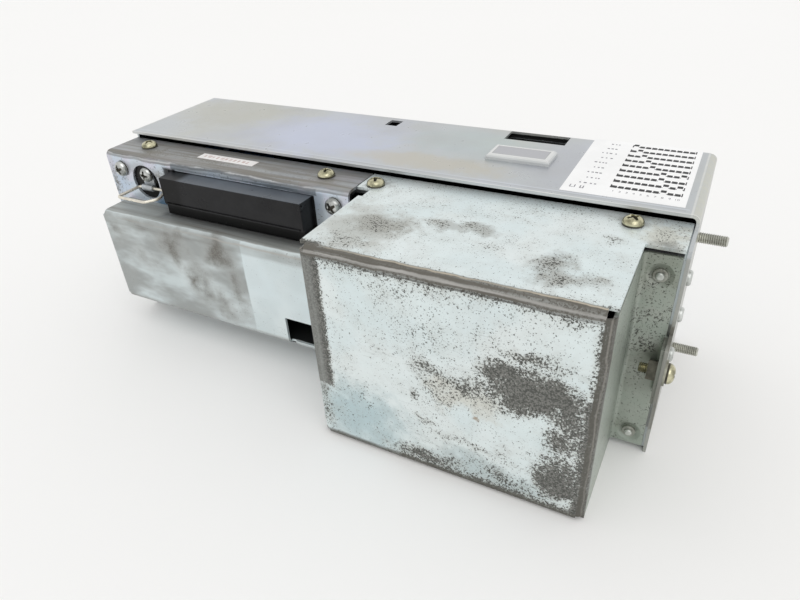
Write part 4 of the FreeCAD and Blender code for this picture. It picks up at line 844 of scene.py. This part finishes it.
tagMarks = {"count": 11, "left": -84.6, "step": 2.5, "wide": (0.9, 1.9), "front": -10.6,
            "uneven": (-0.2, 0.2), "back": -8.6}
tagInk = plain("tagInk", {"base": (0.55, 0.42, 0.40), "other": (0.66, 0.58, 0.56), "roughness": 0.5,
                          "scale": 300, "grime": (0.7, 0.68, 0.66), "grimeShare": 0.4, "bump": 0.03})
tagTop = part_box("front_tag")[1].z / mm
shape = Shape()
for mark in range(tagMarks["count"]):
    x = tagMarks["left"] + mark * tagMarks["step"]
    wide = random.uniform(*tagMarks["wide"])
    front = tagMarks["front"] + random.uniform(*tagMarks["uneven"])
    shape.slab(x, x + wide, front, tagMarks["back"], tagTop, tagTop + table["print"])
shape.object("tag_marks", tagInk)
print("prints done")

# Studio: pale floor, even light all round and a soft key from the front left
floorLook = {"reach": 14.0, "base": (0.90, 0.895, 0.885), "other": (0.92, 0.915, 0.91), "roughness": 0.9,
             "specular": 0.1}
reach = floorLook["reach"]
floorMesh = bpy.data.meshes.new("floor")
floorMesh.from_pydata([(-reach, -reach, 0), (reach, -reach, 0), (reach, reach, 0), (-reach, reach, 0)], [],
                      [(0, 1, 2, 3)])
floor = bpy.data.objects.new("floor", floorMesh)
bpy.context.scene.collection.objects.link(floor)
f = Finish("floorPaper", Roughness=floorLook["roughness"])
f.shader.inputs["Specular IOR Level"].default_value = floorLook["specular"]
paper = f.blend(f.noise(1.6, 2), floorLook["base"], floorLook["other"])
floorMesh.materials.append(f.done(paper, height=f.noise(900, 2), bump=0.02))

studio = {"world": (0.90, 0.90, 0.895), "worldStrength": 1.0, "keyTurn": (28, 24, 0), "keyEnergy": 0.55,
          "keyAngle": 50}
world = bpy.data.worlds.new("studio")
bpy.context.scene.world = world
world.use_nodes = True
backdrop = next(n for n in world.node_tree.nodes if n.type == "BACKGROUND")
backdrop.inputs["Color"].default_value = (*studio["world"], 1)
backdrop.inputs["Strength"].default_value = studio["worldStrength"]
keyData = bpy.data.lights.new("key", "SUN")
keyData.energy = studio["keyEnergy"]
keyData.angle = math.radians(studio["keyAngle"])
key = bpy.data.objects.new("key", keyData)
key.rotation_euler = [math.radians(a) for a in studio["keyTurn"]]
bpy.context.scene.collection.objects.link(key)

view = {"place": (0.1323, -0.2167, 0.19246), "turn": (56.56, 2.85, 27.437), "lens": 28.216, "sensor": 36,
        "nearest": 0.01}
cameraData = bpy.data.cameras.new("view")
cameraData.lens = view["lens"]
cameraData.sensor_width = view["sensor"]
cameraData.clip_start = view["nearest"]
camera = bpy.data.objects.new("view", cameraData)
camera.location = view["place"]
camera.rotation_euler = [math.radians(a) for a in view["turn"]]
bpy.context.scene.collection.objects.link(camera)
bpy.context.scene.camera = camera
bpy.context.scene.view_settings.view_transform = "Standard"
print("studio done")
